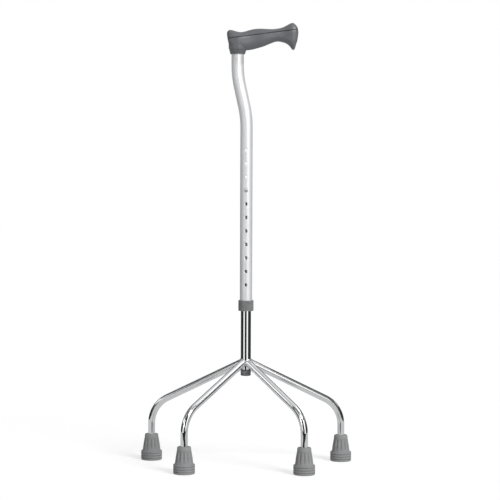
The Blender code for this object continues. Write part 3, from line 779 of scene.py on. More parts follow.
def outwards(item):
    """Merges doubles, points every face outwards and leaves edit mode."""
    edit(item)
    bpy.ops.mesh.remove_doubles(threshold=DOUBLES)
    bpy.ops.mesh.normals_make_consistent(inside=False)
    leave_edit()


def extrude(shift, ratio=None, centre=None):
    """Extrudes what is selected, and resizes the new end about a centre."""
    bpy.ops.mesh.extrude_region_move(TRANSFORM_OT_translate={"value": shift})
    if ratio:
        bpy.ops.transform.resize(value=ratio, center_override=centre)


def circle(name, radius, sides, middle, turn=(0, 0, 0)):
    """A circle without a face, at its size and place."""
    deselect_all()
    bpy.ops.mesh.primitive_circle_add(
        vertices=sides, radius=radius, location=middle, rotation=turn
    )
    item = bpy.context.object
    item.name = name
    settle(item)
    return item


def plane(name, middle, width, depth, turn=(0, 0, 0)):
    """A rectangle at its size and place."""
    deselect_all()
    bpy.ops.mesh.primitive_plane_add(size=1, location=middle, rotation=turn)
    item = bpy.context.object
    item.name = name
    item.scale = (width, depth, 1)
    settle(item)
    return item


def turned(name, profile, centre, sides, closed=False):
    """Turns a profile of (radius, z) about the upright line through centre.

    It starts with a circle that is extruded and resized from point to point. A closed profile
    comes back to its start, as on a ring; any other gets a face at each end.
    """
    x, y = centre
    radius, z = profile[0]
    item = circle(name, radius, sides, (x, y, z))
    edit(item)
    if not closed:
        bpy.ops.mesh.edge_face_add()
        select_all()
    points = [*profile[1:], profile[0]] if closed else profile[1:]
    for next_radius, next_z in points:
        ratio = next_radius / radius
        extrude((0, 0, next_z - z), (ratio, ratio, 1), (x, y, next_z))
        radius, z = next_radius, next_z
    outwards(item)
    return item


def lay_across(item, z):
    """Lays an upright piece along Y, at a height on the cane's axis."""
    item.rotation_euler = (math.pi / 2, 0, 0)
    item.location = (0, AXIS_Y, z)
    settle(item)


def bent_tube(name, start, heading, radius, runs, sides):
    """A tube's skin: a circle carried along straight runs and spun round bends.

    A run is ("straight", length, steps) or ("bend", radius, angle, steps, axis).
    """
    place = Vector(start)
    heading = Vector(heading).normalized()
    turn = Vector((0, 0, 1)).rotation_difference(heading).to_euler()
    item = circle(name, radius, sides, place, turn)
    edit(item)
    for kind, *run in runs:
        if kind == "straight":
            reach, steps = run
            for _ in range(steps):
                extrude(heading * reach / steps)
            place = place + heading * reach
        else:
            bend, angle, steps, axis = run
            axis = Vector(axis).normalized()
            centre = place + axis.cross(heading) * bend
            bpy.ops.mesh.spin(steps=steps, angle=-angle, center=centre, axis=axis, dupli=False)
            swing = Matrix.Rotation(angle, 3, axis)
            place = centre + swing @ (place - centre)
            heading = swing @ heading
    outwards(item)
    return item


def end_faces(item):
    """Closes a tube's open ends."""
    edit(item, "EDGE")
    bpy.ops.mesh.select_all(action="DESELECT")
    bpy.ops.mesh.select_non_manifold(extend=False)
    bpy.ops.mesh.fill_holes(sides=0)
    outwards(item)


def apply_modifier(item, kind, **settings):
    activate(item)
    step = item.modifiers.new(kind.lower(), kind)
    for key, value in settings.items():
        setattr(step, key, value)
    bpy.ops.object.modifier_apply(modifier=step.name)


def cut(item, tool, operation="DIFFERENCE"):
    """Cuts a piece with a tool, which is then thrown away."""
    apply_modifier(item, "BOOLEAN", operation=operation, object=tool, solver="EXACT")
    bpy.data.objects.remove(tool)


def store_painted_shade(item, rule):
    """Keeps, at each vertex, how much painted shade in hollows lies there, from 0 to 1."""
    layer = item.data.attributes.new("grime", "FLOAT", "POINT")
    for vertex, entry in zip(item.data.vertices, layer.data):
        entry.value = max(0.0, min(1.0, rule(vertex.co)))


def join(items):
    """Makes one object of several."""
    activate(items[0])
    for item in items[1:]:
        item.select_set(True)
    bpy.ops.object.join()
    return items[0]


def copy_of(item, name):
    """A copy with a mesh of its own."""
    twin = item.copy()
    twin.data = item.data.copy()
    twin.name = name
    bpy.context.scene.collection.objects.link(twin)
    return twin


def hand_over(item, name, finish, body, nodes, smooth):
    """Gives a piece its name, finish and body, and hides the CAD nodes that it stands for.

    Its edges are smooth up to an angle in degrees.
    """
    settle(item)
    bpy.ops.object.shade_smooth_by_angle(angle=math.radians(smooth))
    item.name = name
    item.data.name = name
    item.data.materials.clear()
    item.data.materials.append(FINISHES[finish].material)
    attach(item, body)
    if nodes:
        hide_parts(*nodes)
    return item


def smooth_value(points, x):
    """The height at x of a smooth line through points in order of x."""
    last = len(points) - 2
    index = min(max(i for i in range(len(points)) if points[i][0] <= x or i == 0), last)
    (x0, z0), (x1, z1) = points[index], points[index + 1]
    before = points[max(index - 1, 0)]
    after = points[min(index + 2, last + 1)]
    span = x1 - x0
    slope0 = (z1 - before[1]) / (x1 - before[0]) * span
    slope1 = (after[1] - z0) / (after[0] - x0) * span
    t = (x - x0) / span
    start = z0 * (2 * t**3 - 3 * t**2 + 1) + slope0 * (t**3 - 2 * t**2 + t)
    return start + z1 * (3 * t**2 - 2 * t**3) + slope1 * (t**3 - t**2)


# Outer tube, its label, its button and its collar


def neck_runs(sizes):
    """The runs of the outer tube: up, aside through the neck, and up again."""
    lean = sizes.neck_angle
    bend = sizes.neck_radius
    straight = (sizes.neck_offset - 2 * bend * (1 - math.cos(lean))) / math.sin(lean)
    neck_top = sizes.neck_foot + 2 * bend * math.sin(lean) + straight * math.cos(lean)
    return (
        ("straight", sizes.neck_foot - TUBE_LOW.z, 26),
        ("bend", bend, lean, 10, (0, -1, 0)),
        ("straight", straight, 4),
        ("bend", bend, lean, 10, (0, 1, 0)),
        ("straight", TUBE_HIGH.z - neck_top, 4),
    )


def run_points(start, heading, runs):
    """The ends of every run's steps, and the heading there."""
    place = Vector(start)
    heading = Vector(heading).normalized()
    points = [(place, heading)]
    for kind, *run in runs:
        if kind == "straight":
            place = place + heading * run[0]
            points.append((place, heading))
            continue
        bend, angle, steps, axis = run
        axis = Vector(axis).normalized()
        centre = place + axis.cross(heading) * bend
        swing = Matrix.Rotation(angle / steps, 3, axis)
        for _ in range(steps):
            place = centre + swing @ (place - centre)
            heading = swing @ heading
            points.append((place, heading))
    return points


def store_drawn(item, points):
    """Keeps, at each vertex, where it would stand if the tube were straight."""
    layer = item.data.attributes.new("drawn", "FLOAT_VECTOR", "POINT")
    reached = [0.0]
    for (first, _), (second, _) in zip(points, points[1:]):
        reached.append(reached[-1] + (second - first).length)
    for vertex, entry in zip(item.data.vertices, layer.data):
        z = vertex.co.z
        index = max(1, min(len(points) - 1, sum(1 for place, _ in points if place.z < z)))
        (low, along_low), (high, along_high) = points[index - 1], points[index]
        share = (z - low.z) / (high.z - low.z)
        middle = low.lerp(high, share)
        heading = along_low.lerp(along_high, share).normalized()
        off = vertex.co - middle
        slide = off.dot(heading)
        off = off - heading * slide
        across = off.dot(Vector((0, 1, 0)).cross(heading))
        place = reached[index - 1] + share * (high - low).length + slide
        entry.vector = (across, off.y, place)


def make_outer_tube(sizes):
    """The satin tube: its swan neck, and the height holes through both of its walls."""
    start = (0, AXIS_Y, TUBE_LOW.z)
    runs = neck_runs(sizes)
    reach = sizes.diameter / 2
    tube = bent_tube("tube", start, (0, 0, 1), reach, runs, sides=128)
    apply_modifier(tube, "SOLIDIFY", thickness=sizes.wall, offset=-1, use_even_offset=True)
    radius = sizes.hole_diameter / 2
    wide = radius + HOLE_CHAMFER + DRILL_PAST
    flare = reach - HOLE_CHAMFER
    profile = (
        (wide, -reach - DRILL_PAST),
        (radius, -flare),
        (radius, flare),
        (wide, reach + DRILL_PAST),
    )
    drill = turned("drill", profile, (0, 0), sides=40)
    lay_across(drill, sizes.top_hole)
    drills = [drill]
    for index in range(1, sizes.hole_count):
        twin = copy_of(drill, f"drill_{index}")
        twin.location = (0, 0, -index * sizes.hole_pitch)
        drills.append(twin)
    cut(tube, join(drills))
    store_drawn(tube, run_points(start, (0, 0, 1), runs))
    hand_over(tube, "drilled_tube", "tube", "upper", ("outer_tube",), 40)


def make_label(sizes):
    """A blank film with rounded corners, wrapped round the neck."""
    low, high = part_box("tube_label")
    radius = sizes.diameter / 2
    x = (low.x + high.x) / 2
    rise = high.z - low.z
    profile = (
        (radius + FILM_FROM, low.z),
        (radius + FILM_TO, low.z),
        (radius + FILM_TO, high.z),
        (radius + FILM_FROM, high.z),
    )
    film = turned("film", profile, (x, AXIS_Y), sides=160, closed=True)
    middle = (x, AXIS_Y - radius, (low.z + high.z) / 2)
    tool = plane("frame", middle, high.x - low.x, rise, turn=(math.pi / 2, 0, 0))
    edit(tool)
    bpy.ops.mesh.bevel(affect="VERTICES", offset=FILM_CORNER, segments=8)
    select_all()
    before = radius / 2
    bpy.ops.transform.translate(value=(0, -before, 0))
    extrude((0, before + radius * FILM_DEPTH, 0))
    outwards(tool)
    cut(film, tool, "INTERSECT")
    hand_over(film, "blank_label", "film", "upper", ("tube_label",), 30)


def make_button(sizes):
    """The domed button, turned about the line that it is pressed along."""
    low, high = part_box("snap_button")
    radius = sizes.hole_diameter / 2 - EASE
    nose = AXIS_Y - low.y
    back = AXIS_Y - high.y
    flange = (high.z - low.z) / 2
    profile = [(flange, back), (flange, back + BUTTON_FLANGE), (radius, back + BUTTON_FLANGE)]
    profile += [(radius * share, nose - down) for share, down in BUTTON_DOME]
    button = turned("button", profile, (0, 0), sides=48)
    lay_across(button, (low.z + high.z) / 2)
    hand_over(button, "domed_button", "zinc", "button", ("snap_button",), 40)


def make_spring():
    """The spring strip: a leaf behind the button, a bend far below it and a leaf on the back wall.
    """
    low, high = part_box("snap_spring")
    button_low, button_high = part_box("snap_button")
    thick = SPRING_THICKNESS
    bend = SPRING_BEND
    pad = (button_high.z - button_low.z) / 2
    middle = high.z - pad
    front = low.y + thick / 2
    back = high.y - thick / 2
    fold = (front + back) / 2
    corner = low.z + thick / 2 + bend
    leaf = plane("leaf", (0, front, high.z), high.x - low.x, thick)
    edit(leaf)
    extrude((0, 0, -2 * pad))
    extrude((0, fold - bend - front, corner - middle + pad))
    centre = (0, fold, corner)
    bpy.ops.mesh.spin(steps=10, angle=-math.pi, center=centre, axis=(1, 0, 0), dupli=False)
    extrude((0, back - fold - bend, middle - pad - corner))
    extrude((0, 0, pad))
    outwards(leaf)
    hand_over(leaf, "spring_strip", "spring", "base", ("snap_spring",), 30)
    press = next(joint for joint in FRAME["joints"] if joint["name"] == "button_press")
    travel = press["range_m"][1]
    depth = high.y - low.y
    1 - travel / depth
    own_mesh(leaf)


def make_sleeve(sizes):
    """The moulded sleeve on the tube's foot, with its thread as a run of ridges."""
    low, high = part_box("threaded_sleeve")
    bore = sizes.diameter / 2 + EASE
    root = (high.x - low.x) / 2 - THREAD_DEPTH
    profile = [(bore, low.z), (root, low.z)]
    z = low.z + 0.4 * THREAD_PITCH
    while z < high.z - 0.8 * THREAD_PITCH:
        profile += [(root + THREAD_DEPTH * share, z + up) for share, up in THREAD_RIDGE]
        z += THREAD_PITCH
    profile += [(root, high.z - EASE), (root - EASE, high.z), (bore, high.z)]
    sleeve = turned("sleeve", profile, (0, AXIS_Y), sides=72, closed=True)
    hand_over(
        sleeve, "ridged_sleeve", "collar", "upper", ("threaded_sleeve",), 30
    )


def make_collar(sizes, stem_radius):
    """The collar: a diamond knurl between two plain rims, round a threaded bore."""
    outer = (COLLAR_HIGH.x - COLLAR_LOW.x) / 2
    foot, top = COLLAR_LOW.z, COLLAR_HIGH.z
    valley = outer - sizes.knurl_depth
    groove = sizes.knurl_depth + COLLAR_GROOVE
    band_low, band_high = foot + COLLAR_BAND, top - COLLAR_BAND
    step = (band_high - band_low) / sizes.knurl_rows
    rows = [band_low + step * index for index in range(sizes.knurl_rows + 1)]
    rim = [*COLLAR_EDGE, *((groove, up) for up in COLLAR_GROOVE_SPAN)]
    lip = foot + sizes.lip_thickness
    slide = stem_radius + EASE
    profile = [(slide + COLLAR_CHAMFER, foot)]
    profile += [(outer - inset, foot + up) for inset, up in rim]
    profile += [(valley, z) for z in rows]
    profile += [(outer - inset, top - down) for inset, down in reversed(rim)]
    profile += [(sizes.bore + COLLAR_CHAMFER, top), (sizes.bore, top - COLLAR_CHAMFER)]
    profile += [(sizes.bore, lip), (slide, lip), (slide, foot + COLLAR_CHAMFER)]
    collar = turned("collar", profile, (0, AXIS_Y), sizes.knurl_count, closed=True)

    def away(place):
        return math.hypot(place.x, place.y - AXIS_Y)

    def on_band(element):
        """Whether all of an edge or face lies in the valleys of the knurled band."""
        return all(
            abs(away(v.co) - valley) < KNURL_NEAR and band_low - SAME < v.co.z < band_high + SAME
            for v in element.verts
        )

    def on_row(edge):
        return all(any(abs(v.co.z - z) < SAME for z in rows) for v in edge.verts)

    def on_end(edge):
        return all(min(abs(v.co.z - z) for z in (band_low, band_high)) < SAME for v in edge.verts)

    # Painted shade in the knurls' valleys, by how deep each point lies
    def in_valley(place):
        if not band_low < place.z < band_high:
            return 0.0
        return (outer - away(place)) / sizes.knurl_depth

    edit(collar)
    select(collar, "faces", on_band)
    bpy.ops.mesh.poke(offset=0)
    select(collar, "edges", lambda edge: on_band(edge) and on_row(edge) and not on_end(edge))
    bpy.ops.mesh.dissolve_edges(use_verts=False, use_face_split=False)
    select(collar, "faces", lambda face: len(face.verts) == 4 and on_band(face))
    bpy.ops.mesh.poke(offset=sizes.knurl_depth)
    leave_edit()
    store_painted_shade(collar, in_valley)
    hand_over(
        collar, "knurled_collar", "collar", "collar", ("locking_collar",), 18
    )


# Stem, legs and rubber feet


def make_stem(sizes):
    """The chromed stem, open at its top, with the hole that the button stands in."""
    start = (0, AXIS_Y, STEM_LOW.z)
    runs = (("straight", STEM_HIGH.z - STEM_LOW.z, 8),)
    stem = bent_tube("stem", start, (0, 0, 1), sizes.stem_diameter / 2, runs, sides=128)
    apply_modifier(stem, "SOLIDIFY", thickness=sizes.stem_wall, offset=-1, use_even_offset=True)
    low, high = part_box("snap_button")
    profile = ((STEM_DRILL_RADIUS, 0), (STEM_DRILL_RADIUS, STEM_DRILL_LENGTH))
    drill = turned("drill", profile, (0, 0), sides=40)
    lay_across(drill, (low.z + high.z) / 2)
    cut(stem, drill)
    hand_over(stem, "chromed_stem", "chrome", "base", ("stem_tube",), 40)


def make_end_plug():
    """The black plug in the stem's foot: a ribbed cap under a short stub."""
    low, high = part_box("stem_end_plug")
    radius = (high.x - low.x) / 2
    shoulder = STEM_LOW.z - EASE
    profile = [(radius * share, low.z + up) for share, up in PLUG_DIMPLE]
    profile += [(radius - inset, low.z + up) for inset, up in PLUG_SIDE]
    profile += [(radius - inset, shoulder - down) for inset, down in PLUG_SHOULDER]
    profile.append((radius - PLUG_STUB, high.z))
    plug = turned("plug", profile, (0, AXIS_Y), sides=96)
    hand_over(plug, "foot_plug", "plug", "base", ("stem_end_plug",), 30)


def foot_centre(place):
    low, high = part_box("ferrule_" + place)
    return Vector(((low.x + high.x) / 2, (low.y + high.y) / 2))


def leg_shape(sizes, place):
    """A leg's way out from the stem, its reach and its slope."""
    out = foot_centre(place) - Vector((0, AXIS_Y))
    slope = math.atan((sizes.leg_root - sizes.leg_corner) / out.length)
    return out.normalized(), out.length, slope


def make_leg(sizes, place):
    """A bent tube from the stem to its foot, coped to fit the stem."""
    away, reach, slope = leg_shape(sizes, place)
    turn = math.pi / 2 - slope
    tangent = sizes.leg_bend * math.tan(turn / 2)
    sloped = math.hypot(reach, sizes.leg_root - sizes.leg_corner) - tangent
    heading = Vector((away.x * math.cos(slope), away.y * math.cos(slope), -math.sin(slope)))
    axis = Vector((-away.y, away.x, 0))
    runs = (
        ("straight", sloped, 10),
        ("bend", sizes.leg_bend, turn, 24, axis),
        ("straight", sizes.leg_corner - tangent - sizes.leg_foot, 4),
    )
    start = (0, AXIS_Y, sizes.leg_root)
    leg = bent_tube("leg", start, heading, sizes.leg_diameter / 2, runs, sides=72)
    end_faces(leg)
    radius = sizes.stem_diameter / 2 - COPE_INSET
    profile = ((radius, STEM_LOW.z), (radius, sizes.leg_root + COPE_OVER))
    cut(leg, turned("cope", profile, (0, AXIS_Y), sides=96))
    name = "bent_leg_" + place
    hand_over(leg, name, "chrome", "base", ("leg_" + place,), 40)


def bead(name, points, radius, ripple, cyclic):
    """A weld bead along points, in overlapping ripples."""
    data = bpy.data.curves.new(name, "CURVE")
    data.dimensions = "3D"
    data.bevel_depth = radius
    data.bevel_resolution = 3
    data.use_fill_caps = True
    spline = data.splines.new("POLY")
    spline.points.add(len(points) - 1)
    spline.use_cyclic_u = cyclic
    for index, (knot, point) in enumerate(zip(spline.points, points)):
        knot.co = (*point, 1)
        knot.radius = 1 - ripple * (index % 3) / 2
    item = bpy.data.objects.new(name, data)
    bpy.context.scene.collection.objects.link(item)
    activate(item)
    bpy.ops.object.convert(target="MESH")
    outwards(item)
    return item


def skin_height(sizes, out, angle, slope):
    """The height at which a leg's skin stands so far out, at an angle round the leg."""
    rise = sizes.leg_diameter / 2 * math.sin(angle)
    along = (out - rise * math.sin(slope)) / math.cos(slope)
    return sizes.leg_root - along * math.sin(slope) + rise * math.cos(slope)


def make_welds(sizes):
    """Beads where each leg meets the stem, and up the seams between neighbours."""
    stem = sizes.stem_diameter / 2
    tube = sizes.leg_diameter / 2
    beads = []
    for place in LEGS:
        away, _, slope = leg_shape(sizes, place)
        side = Vector((-away.y, away.x))
        points = []
        for step in range(WELD_STEPS):
            angle = 2 * math.pi * step / WELD_STEPS
            across = tube * math.cos(angle)
            out = math.sqrt(stem**2 - across**2)
            flat = Vector((0, AXIS_Y)) + away * out + side * across
            points.append((flat.x, flat.y, skin_height(sizes, out, angle, slope)))
        beads.append(bead("bead_" + place, points, sizes.weld_bead, WELD_RIPPLE, cyclic=True))
    for first, second in (("inner_front", "outer_front"), ("inner_rear", "outer_rear")):
        beads.append(seam(sizes, first, second))
    joined = join(beads)
    hand_over(joined, "weld_beads", "weld", "base", (), 60)


def seam(sizes, first, second):
    """A thinner bead over the top of the mitre between two legs."""
    away, _, slope = leg_shape(sizes, first)
    other, _, other_slope = leg_shape(sizes, second)
    half = away.angle(other) / 2
    middle = (away + other).normalized()
    lean = (slope + other_slope) / 2
    points = []
    for step in range(SEAM_STEPS + 1):
        angle = math.radians(SEAM_REACH - step * 2 * SEAM_REACH / SEAM_STEPS)
        across = sizes.leg_diameter / 2 * math.cos(angle)
        flat = Vector((0, AXIS_Y)) + middle * across / math.sin(half)
        out = across / math.tan(half)
        points.append((flat.x, flat.y, skin_height(sizes, out, angle, lean)))
    radius = sizes.weld_bead * SEAM_SHARE
    return bead("seam_" + first, points, radius, SEAM_RIPPLE, cyclic=False)


def foot_profile(sizes, base, top):
    """A rubber foot as (radius, z), from the middle of its sole to the floor of its socket."""
    socket = sizes.leg_diameter / 2 + SOCKET_PLAY
    sole = base - SOLE_INSET
    core = sole * SOLE_CORE
    profile = [(core, SOLE_DIMPLE_DEPTH), (sole * SOLE_DIMPLE, 0.0)]
    for share in SOLE_RINGS:
        profile += [(sole * share + across, up) for across, up in SOLE_RING]
    profile += [(sole, 0.0), *((base - inset, up) for inset, up in FLANGE_FOOT)]
    for z in FLANGE_GROOVES:
        profile += [(base - inset, z + up) for inset, up in FLANGE_GROOVE]
    profile += [(base - inset, FLANGE_TOP - down) for inset, down in FLANGE_EDGE]
    profile += [*FOOT_CONE, *((radius, top - down) for radius, down in FOOT_BRIM)]
    profile += [(socket + out, top - down) for out, down in SOCKET_MOUTH]
    return [*profile, (socket, SOCKET_FLOOR), (core, SOCKET_FLOOR)]


def make_foot(sizes):
    """The first rubber foot: a fluted cone over a grooved flange. The others are its copies."""
    low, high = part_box("ferrule_" + LEGS[0])
    centre = foot_centre(LEGS[0])
    base = (high.x - low.x) / 2
    profile = foot_profile(sizes, base, high.z)
    foot = turned("foot", profile, centre, FLUTE_SIDES * sizes.flutes)
    flute(foot, centre, sizes)
    # Painted shade in the flutes, the flange's grooves and the neck, by how deep each point lies under the outline
    hollows = (base - FLANGE_GROOVE_DEPTH, NECK_RADIUS)
    outline = [
        (radius, z)
        for radius, z in profile
        if radius > HOLLOW_SHADE_RADIUS and z > HOLLOW_SHADE_FLOOR and radius not in hollows
    ]
    store_painted_shade(foot, lambda place: under(outline, place, centre) / HOLLOW_SHADE_DEPTH)
    finish_foot(foot, LEGS[0])
    for place in LEGS[1:]:
        shift = foot_centre(place) - centre
        twin = copy_of(foot, "foot")
        twin.data.transform(Matrix.Translation((*shift, 0)))
        finish_foot(twin, place)


def finish_foot(item, place):
    name = "rubber_foot_" + place
    hand_over(item, name, "rubber", "base", ("ferrule_" + place,), 32)


def under(outline, place, centre):
    """How deep a place lies under an outline turned about the upright line through centre."""
    away = math.hypot(place.x - centre.x, place.y - centre.y)
    for (first, low), (second, high) in zip(outline, outline[1:]):
        if low <= place.z <= high and high > low and away > HOLLOW_SHADE_RADIUS:
            return first + (second - first) * (place.z - low) / (high - low) - away
    return 0.0


def flute(foot, centre, sizes):
    """Presses the flutes into the cone, ring by ring."""
    pitch = 2 * math.pi / sizes.flutes

    def at_height(vertex):
        return abs(vertex.co.z - z) < SAME

    def off_middle(vertex):
        """How far a vertex is from the middle of its flute, as a share of the pitch."""
        turn = math.atan2(vertex.co.y - centre.y, vertex.co.x - centre.x) + math.pi / 2
        return abs((turn / pitch + 0.5) % 1 - 0.5)

    edit(foot)
    for z, share in FLUTE_RINGS:
        ring = filter(at_height, bmesh.from_edit_mesh(foot.data).verts)
        radius = max(math.hypot(v.co.x - centre.x, v.co.y - centre.y) for v in ring)
        inner = 0.0
        for outer, level in FLUTE_LEVELS:
            ratio = 1 - sizes.flute_depth * share * level / radius
            if select(foot, "verts", lambda v: at_height(v) and inner <= off_middle(v) < outer):
                middle = (centre.x, centre.y, z)
                bpy.ops.transform.resize(value=(ratio, ratio, 1), center_override=middle)
            inner = outer
    leave_edit()


# Grip


def grip_loft(sizes):
    """The whole grip, extruded from a rounded square along its stations."""
    start, end = GRIP_TOP[0][0], GRIP_TOP[-1][0]
    stations = []
    for index in range(GRIP_STATIONS):
        share = (1 - math.cos(math.pi * (index + 0.5) / GRIP_STATIONS)) / 2
        x = start + (end - start) * share
        top = smooth_value(GRIP_TOP, x)
        low = smooth_value(GRIP_UNDERSIDE, x)
        width = smooth_value(GRIP_HALF_WIDTH, x)
        place = (sizes.axis_x + x, sizes.foot + (top + low) / 2)
        stations.append((*place, width, (top - low) / 2))
    x, z, width, rise = stations[0]
    grip = plane("grip", (0, 0, 0), 2, 2, turn=(0, math.pi / 2, 0))
    edit(grip)
    bpy.ops.mesh.bevel(affect="VERTICES", offset=GRIP_CORNER, segments=8)
    select_all()
    bpy.ops.transform.resize(value=(1, width, rise), center_override=(0, 0, 0))
    bpy.ops.transform.translate(value=(x, AXIS_Y, z))
    for next_x, next_z, next_width, next_rise in stations[1:]:
        ratio = (1, next_width / width, next_rise / rise)
        extrude((next_x - x, 0, next_z - z), ratio, (next_x, AXIS_Y, next_z))
        x, z, width, rise = next_x, next_z, next_width, next_rise
    outwards(grip)
    return grip


def grip_blank(sizes):
    """Grip and boss melted into one skin, with a soft blend between them."""
    x = sizes.axis_x
    radius = sizes.boss_radius
    profile = [(radius - inset, sizes.foot + up) for inset, up in BOSS]
    blank = join([grip_loft(sizes), turned("boss", profile, (x, AXIS_Y), sides=96)])
    apply_modifier(
        blank,
        "REMESH",
        mode="VOXEL",
        voxel_size=sizes.voxel,
        adaptivity=0,
        use_smooth_shade=True,
    )
    middle = Vector((x, AXIS_Y))

    def near_blend(vertex):
        """Whether a vertex lies on the boss's side under the grip, ahead of the heel."""
        off = abs((vertex.co.xy - middle).length - radius)
        up = vertex.co.z - sizes.foot
        in_reach = off < BLEND_REACH and BLEND_LOW < up < BLEND_HIGH
        return in_reach and vertex.co.x > x - BLEND_HEEL

    edit(blank)
    bpy.ops.mesh.vertices_smooth(factor=0.5, repeat=SKIN_SMOOTHING)
    select(blank, "verts", near_blend)
    bpy.ops.mesh.vertices_smooth(factor=0.5, repeat=BLEND_SMOOTHING)
    leave_edit()
    return blank


def parting(sizes):
    """The plane between the two mouldings: its normal, and a point on it."""
    up = Vector((-sizes.parting_slope, 0, 1)).normalized()
    return up, Vector((sizes.axis_x, AXIS_Y, sizes.foot + sizes.parting))


def part_grip(sizes, blank, above):
    """One moulding, cut at the parting line, with a lip, a land and a tongue or groove."""
    up, line = parting(sizes)
    gap = (sizes.parting_gap / 2 + sizes.lip) * (1 if above else -1)
    point = line + up * gap
    edit(blank)
    bpy.ops.mesh.bisect(
        plane_co=point, plane_no=up, use_fill=True, clear_inner=above, clear_outer=not above
    )
    shape = bmesh.from_edit_mesh(blank.data)
    largest = max(face.calc_area() for face in shape.faces)
    select(blank, "faces", lambda face: face.calc_area() == largest)
    bpy.ops.mesh.inset(thickness=sizes.lip, depth=sizes.lip)
    bpy.ops.mesh.inset(thickness=PARTING_LAND, depth=0)
    if above:
        bpy.ops.mesh.inset(thickness=TONGUE_STEP, depth=-GROOVE_DEPTH)
    else:
        bpy.ops.mesh.inset(thickness=TONGUE_INSET, depth=0)
        bpy.ops.mesh.inset(thickness=TONGUE_STEP, depth=TONGUE_HEIGHT)
    outwards(blank)
    return blank


def make_grip(sizes, tube_radius):
    """The two mouldings, and the rim round the tube under them."""
    foot = sizes.foot
    blank = grip_blank(sizes)
    cap = part_grip(sizes, copy_of(blank, "cap"), above=True)
    body = part_grip(sizes, blank, above=False)
    up, line = parting(sizes)

    # Painted shade along the parting line between the two mouldings, fading out away from it
    def on_line(place):
        return PARTING_SHADE - abs((place - line).dot(up)) / PARTING_SPREAD

    store_painted_shade(cap, on_line)
    store_painted_shade(body, on_line)
    bore = tube_radius + EASE
    profile = [(bore, foot + RIM_CHAMFER), (bore + RIM_CHAMFER, foot)]
    profile += [(radius, foot + rise) for radius, rise in SOCKET_RIM]
    profile.append((bore, foot + SOCKET_RIM[-1][1]))
    rim = turned("rim", profile, (sizes.axis_x, AXIS_Y), sides=128, closed=True)

    # Painted shade in the rim's creases, fading out from each
    def in_crease(place):
        return 1.0 - min(abs(place.z - foot - rise) for rise in RIM_CREASES) / CREASE_SHADE_SPREAD

    store_painted_shade(rim, in_crease)
    hand_over(body, "grip_body", "grip", "upper", ("handle_body",), 50)
    hand_over(cap, "grip_cap", "grip", "upper", ("handle_cap",), 50)
    hand_over(rim, "grip_socket_rim", "grip", "upper", (), 30)


# Stage


def stage_material(name, shade, share, seen_glow, mirrored_glow):
    """A matt surface that shows a steady white to the camera, and a softer one in reflections.

    There, share says how much of the white lies over the matt surface and the shadow on it.
    """
    material = bpy.data.materials.new(name)
    nodes = Nodes(material, bare=True)
    rays = ("Is Camera Ray", "Is Glossy Ray", "Is Transmission Ray")
    camera, glossy, passing = (nodes.node("ShaderNodeLightPath", output=ray) for ray in rays)
    mirrored = nodes.maths("MAXIMUM", glossy, passing)
    seen = nodes.maths("MAXIMUM", camera, mirrored)
    glow = mirrored * (mirrored_glow - seen_glow) + seen_glow
    matt = nodes.node("ShaderNodeBsdfDiffuse", values={"Color": (shade, shade, shade, 1)})
    bright = nodes.node("ShaderNodeEmission", values={"Strength": glow})
    both = nodes.node("ShaderNodeMixShader", values=(seen * share, matt, bright))
    nodes.node("ShaderNodeOutputMaterial", values={"Surface": both})
    return material


def white_world(light):
    """White where it is seen or mirrored, and a softer light on matt surfaces."""
    world = bpy.data.worlds.new("studio")
    nodes = Nodes(world, bare=True)
    matt = nodes.node("ShaderNodeLightPath", output="Is Diffuse Ray")
    values = {"Color": WHITE, "Strength": 1 + matt * (light - 1)}
    back = nodes.node("ShaderNodeBackground", values=values)
    nodes.node("ShaderNodeOutputWorld", values={"Surface": back})
    bpy.context.scene.world = world


def sunlight(name, azimuth, rise, strength, spread):
    """An even, slanting light with soft shadows, from an azimuth and so many degrees up."""
    data = bpy.data.lights.new(name, "SUN")
    data.energy = strength
    data.angle = math.radians(spread)
    lamp = bpy.data.objects.new(name, data)
    bpy.context.scene.collection.objects.link(lamp)
    lamp.rotation_euler = (math.radians(90 - rise), 0, math.radians(azimuth))


def only_mirrored(item, glow):
    """Gives a stage piece an even grey that nothing but a reflection sees."""
    material = bpy.data.materials.new(item.name)
    nodes = Nodes(material, bare=True)
    values = {"Color": WHITE, "Strength": glow}
    bright = nodes.node("ShaderNodeEmission", values=values)
    nodes.node("ShaderNodeOutputMaterial", values={"Surface": bright})
    item.data.materials.append(material)
    for ray in ("camera", "diffuse", "transmission", "shadow", "volume_scatter"):
        setattr(item, "visible_" + ray, False)


def screen(name, start, end, low, high, glow):
    """A curved screen between two azimuths round the stem."""
    item = circle(name, SCREEN_RADIUS, SCREEN_SIDES, (0, AXIS_Y, low))

    def outside(vertex):
        azimuth = math.degrees(math.atan2(vertex.co.x, AXIS_Y - vertex.co.y))
        return (azimuth - start + SCREEN_PLAY) % 360 > end - start + 2 * SCREEN_PLAY

    edit(item)
    if select(item, "verts", outside):
        bpy.ops.mesh.delete(type="VERT")
    select_all()
    extrude((0, 0, high - low))
    leave_edit()
    only_mirrored(item, glow)


def flat_screen(name, start_x, end_x, start_y, end_y, height, glow):
    """A level screen above the cane or on the floor."""
    middle = ((start_x + end_x) / 2, (start_y + end_y) / 2, height)
    only_mirrored(plane(name, middle, end_x - start_x, end_y - start_y), glow)


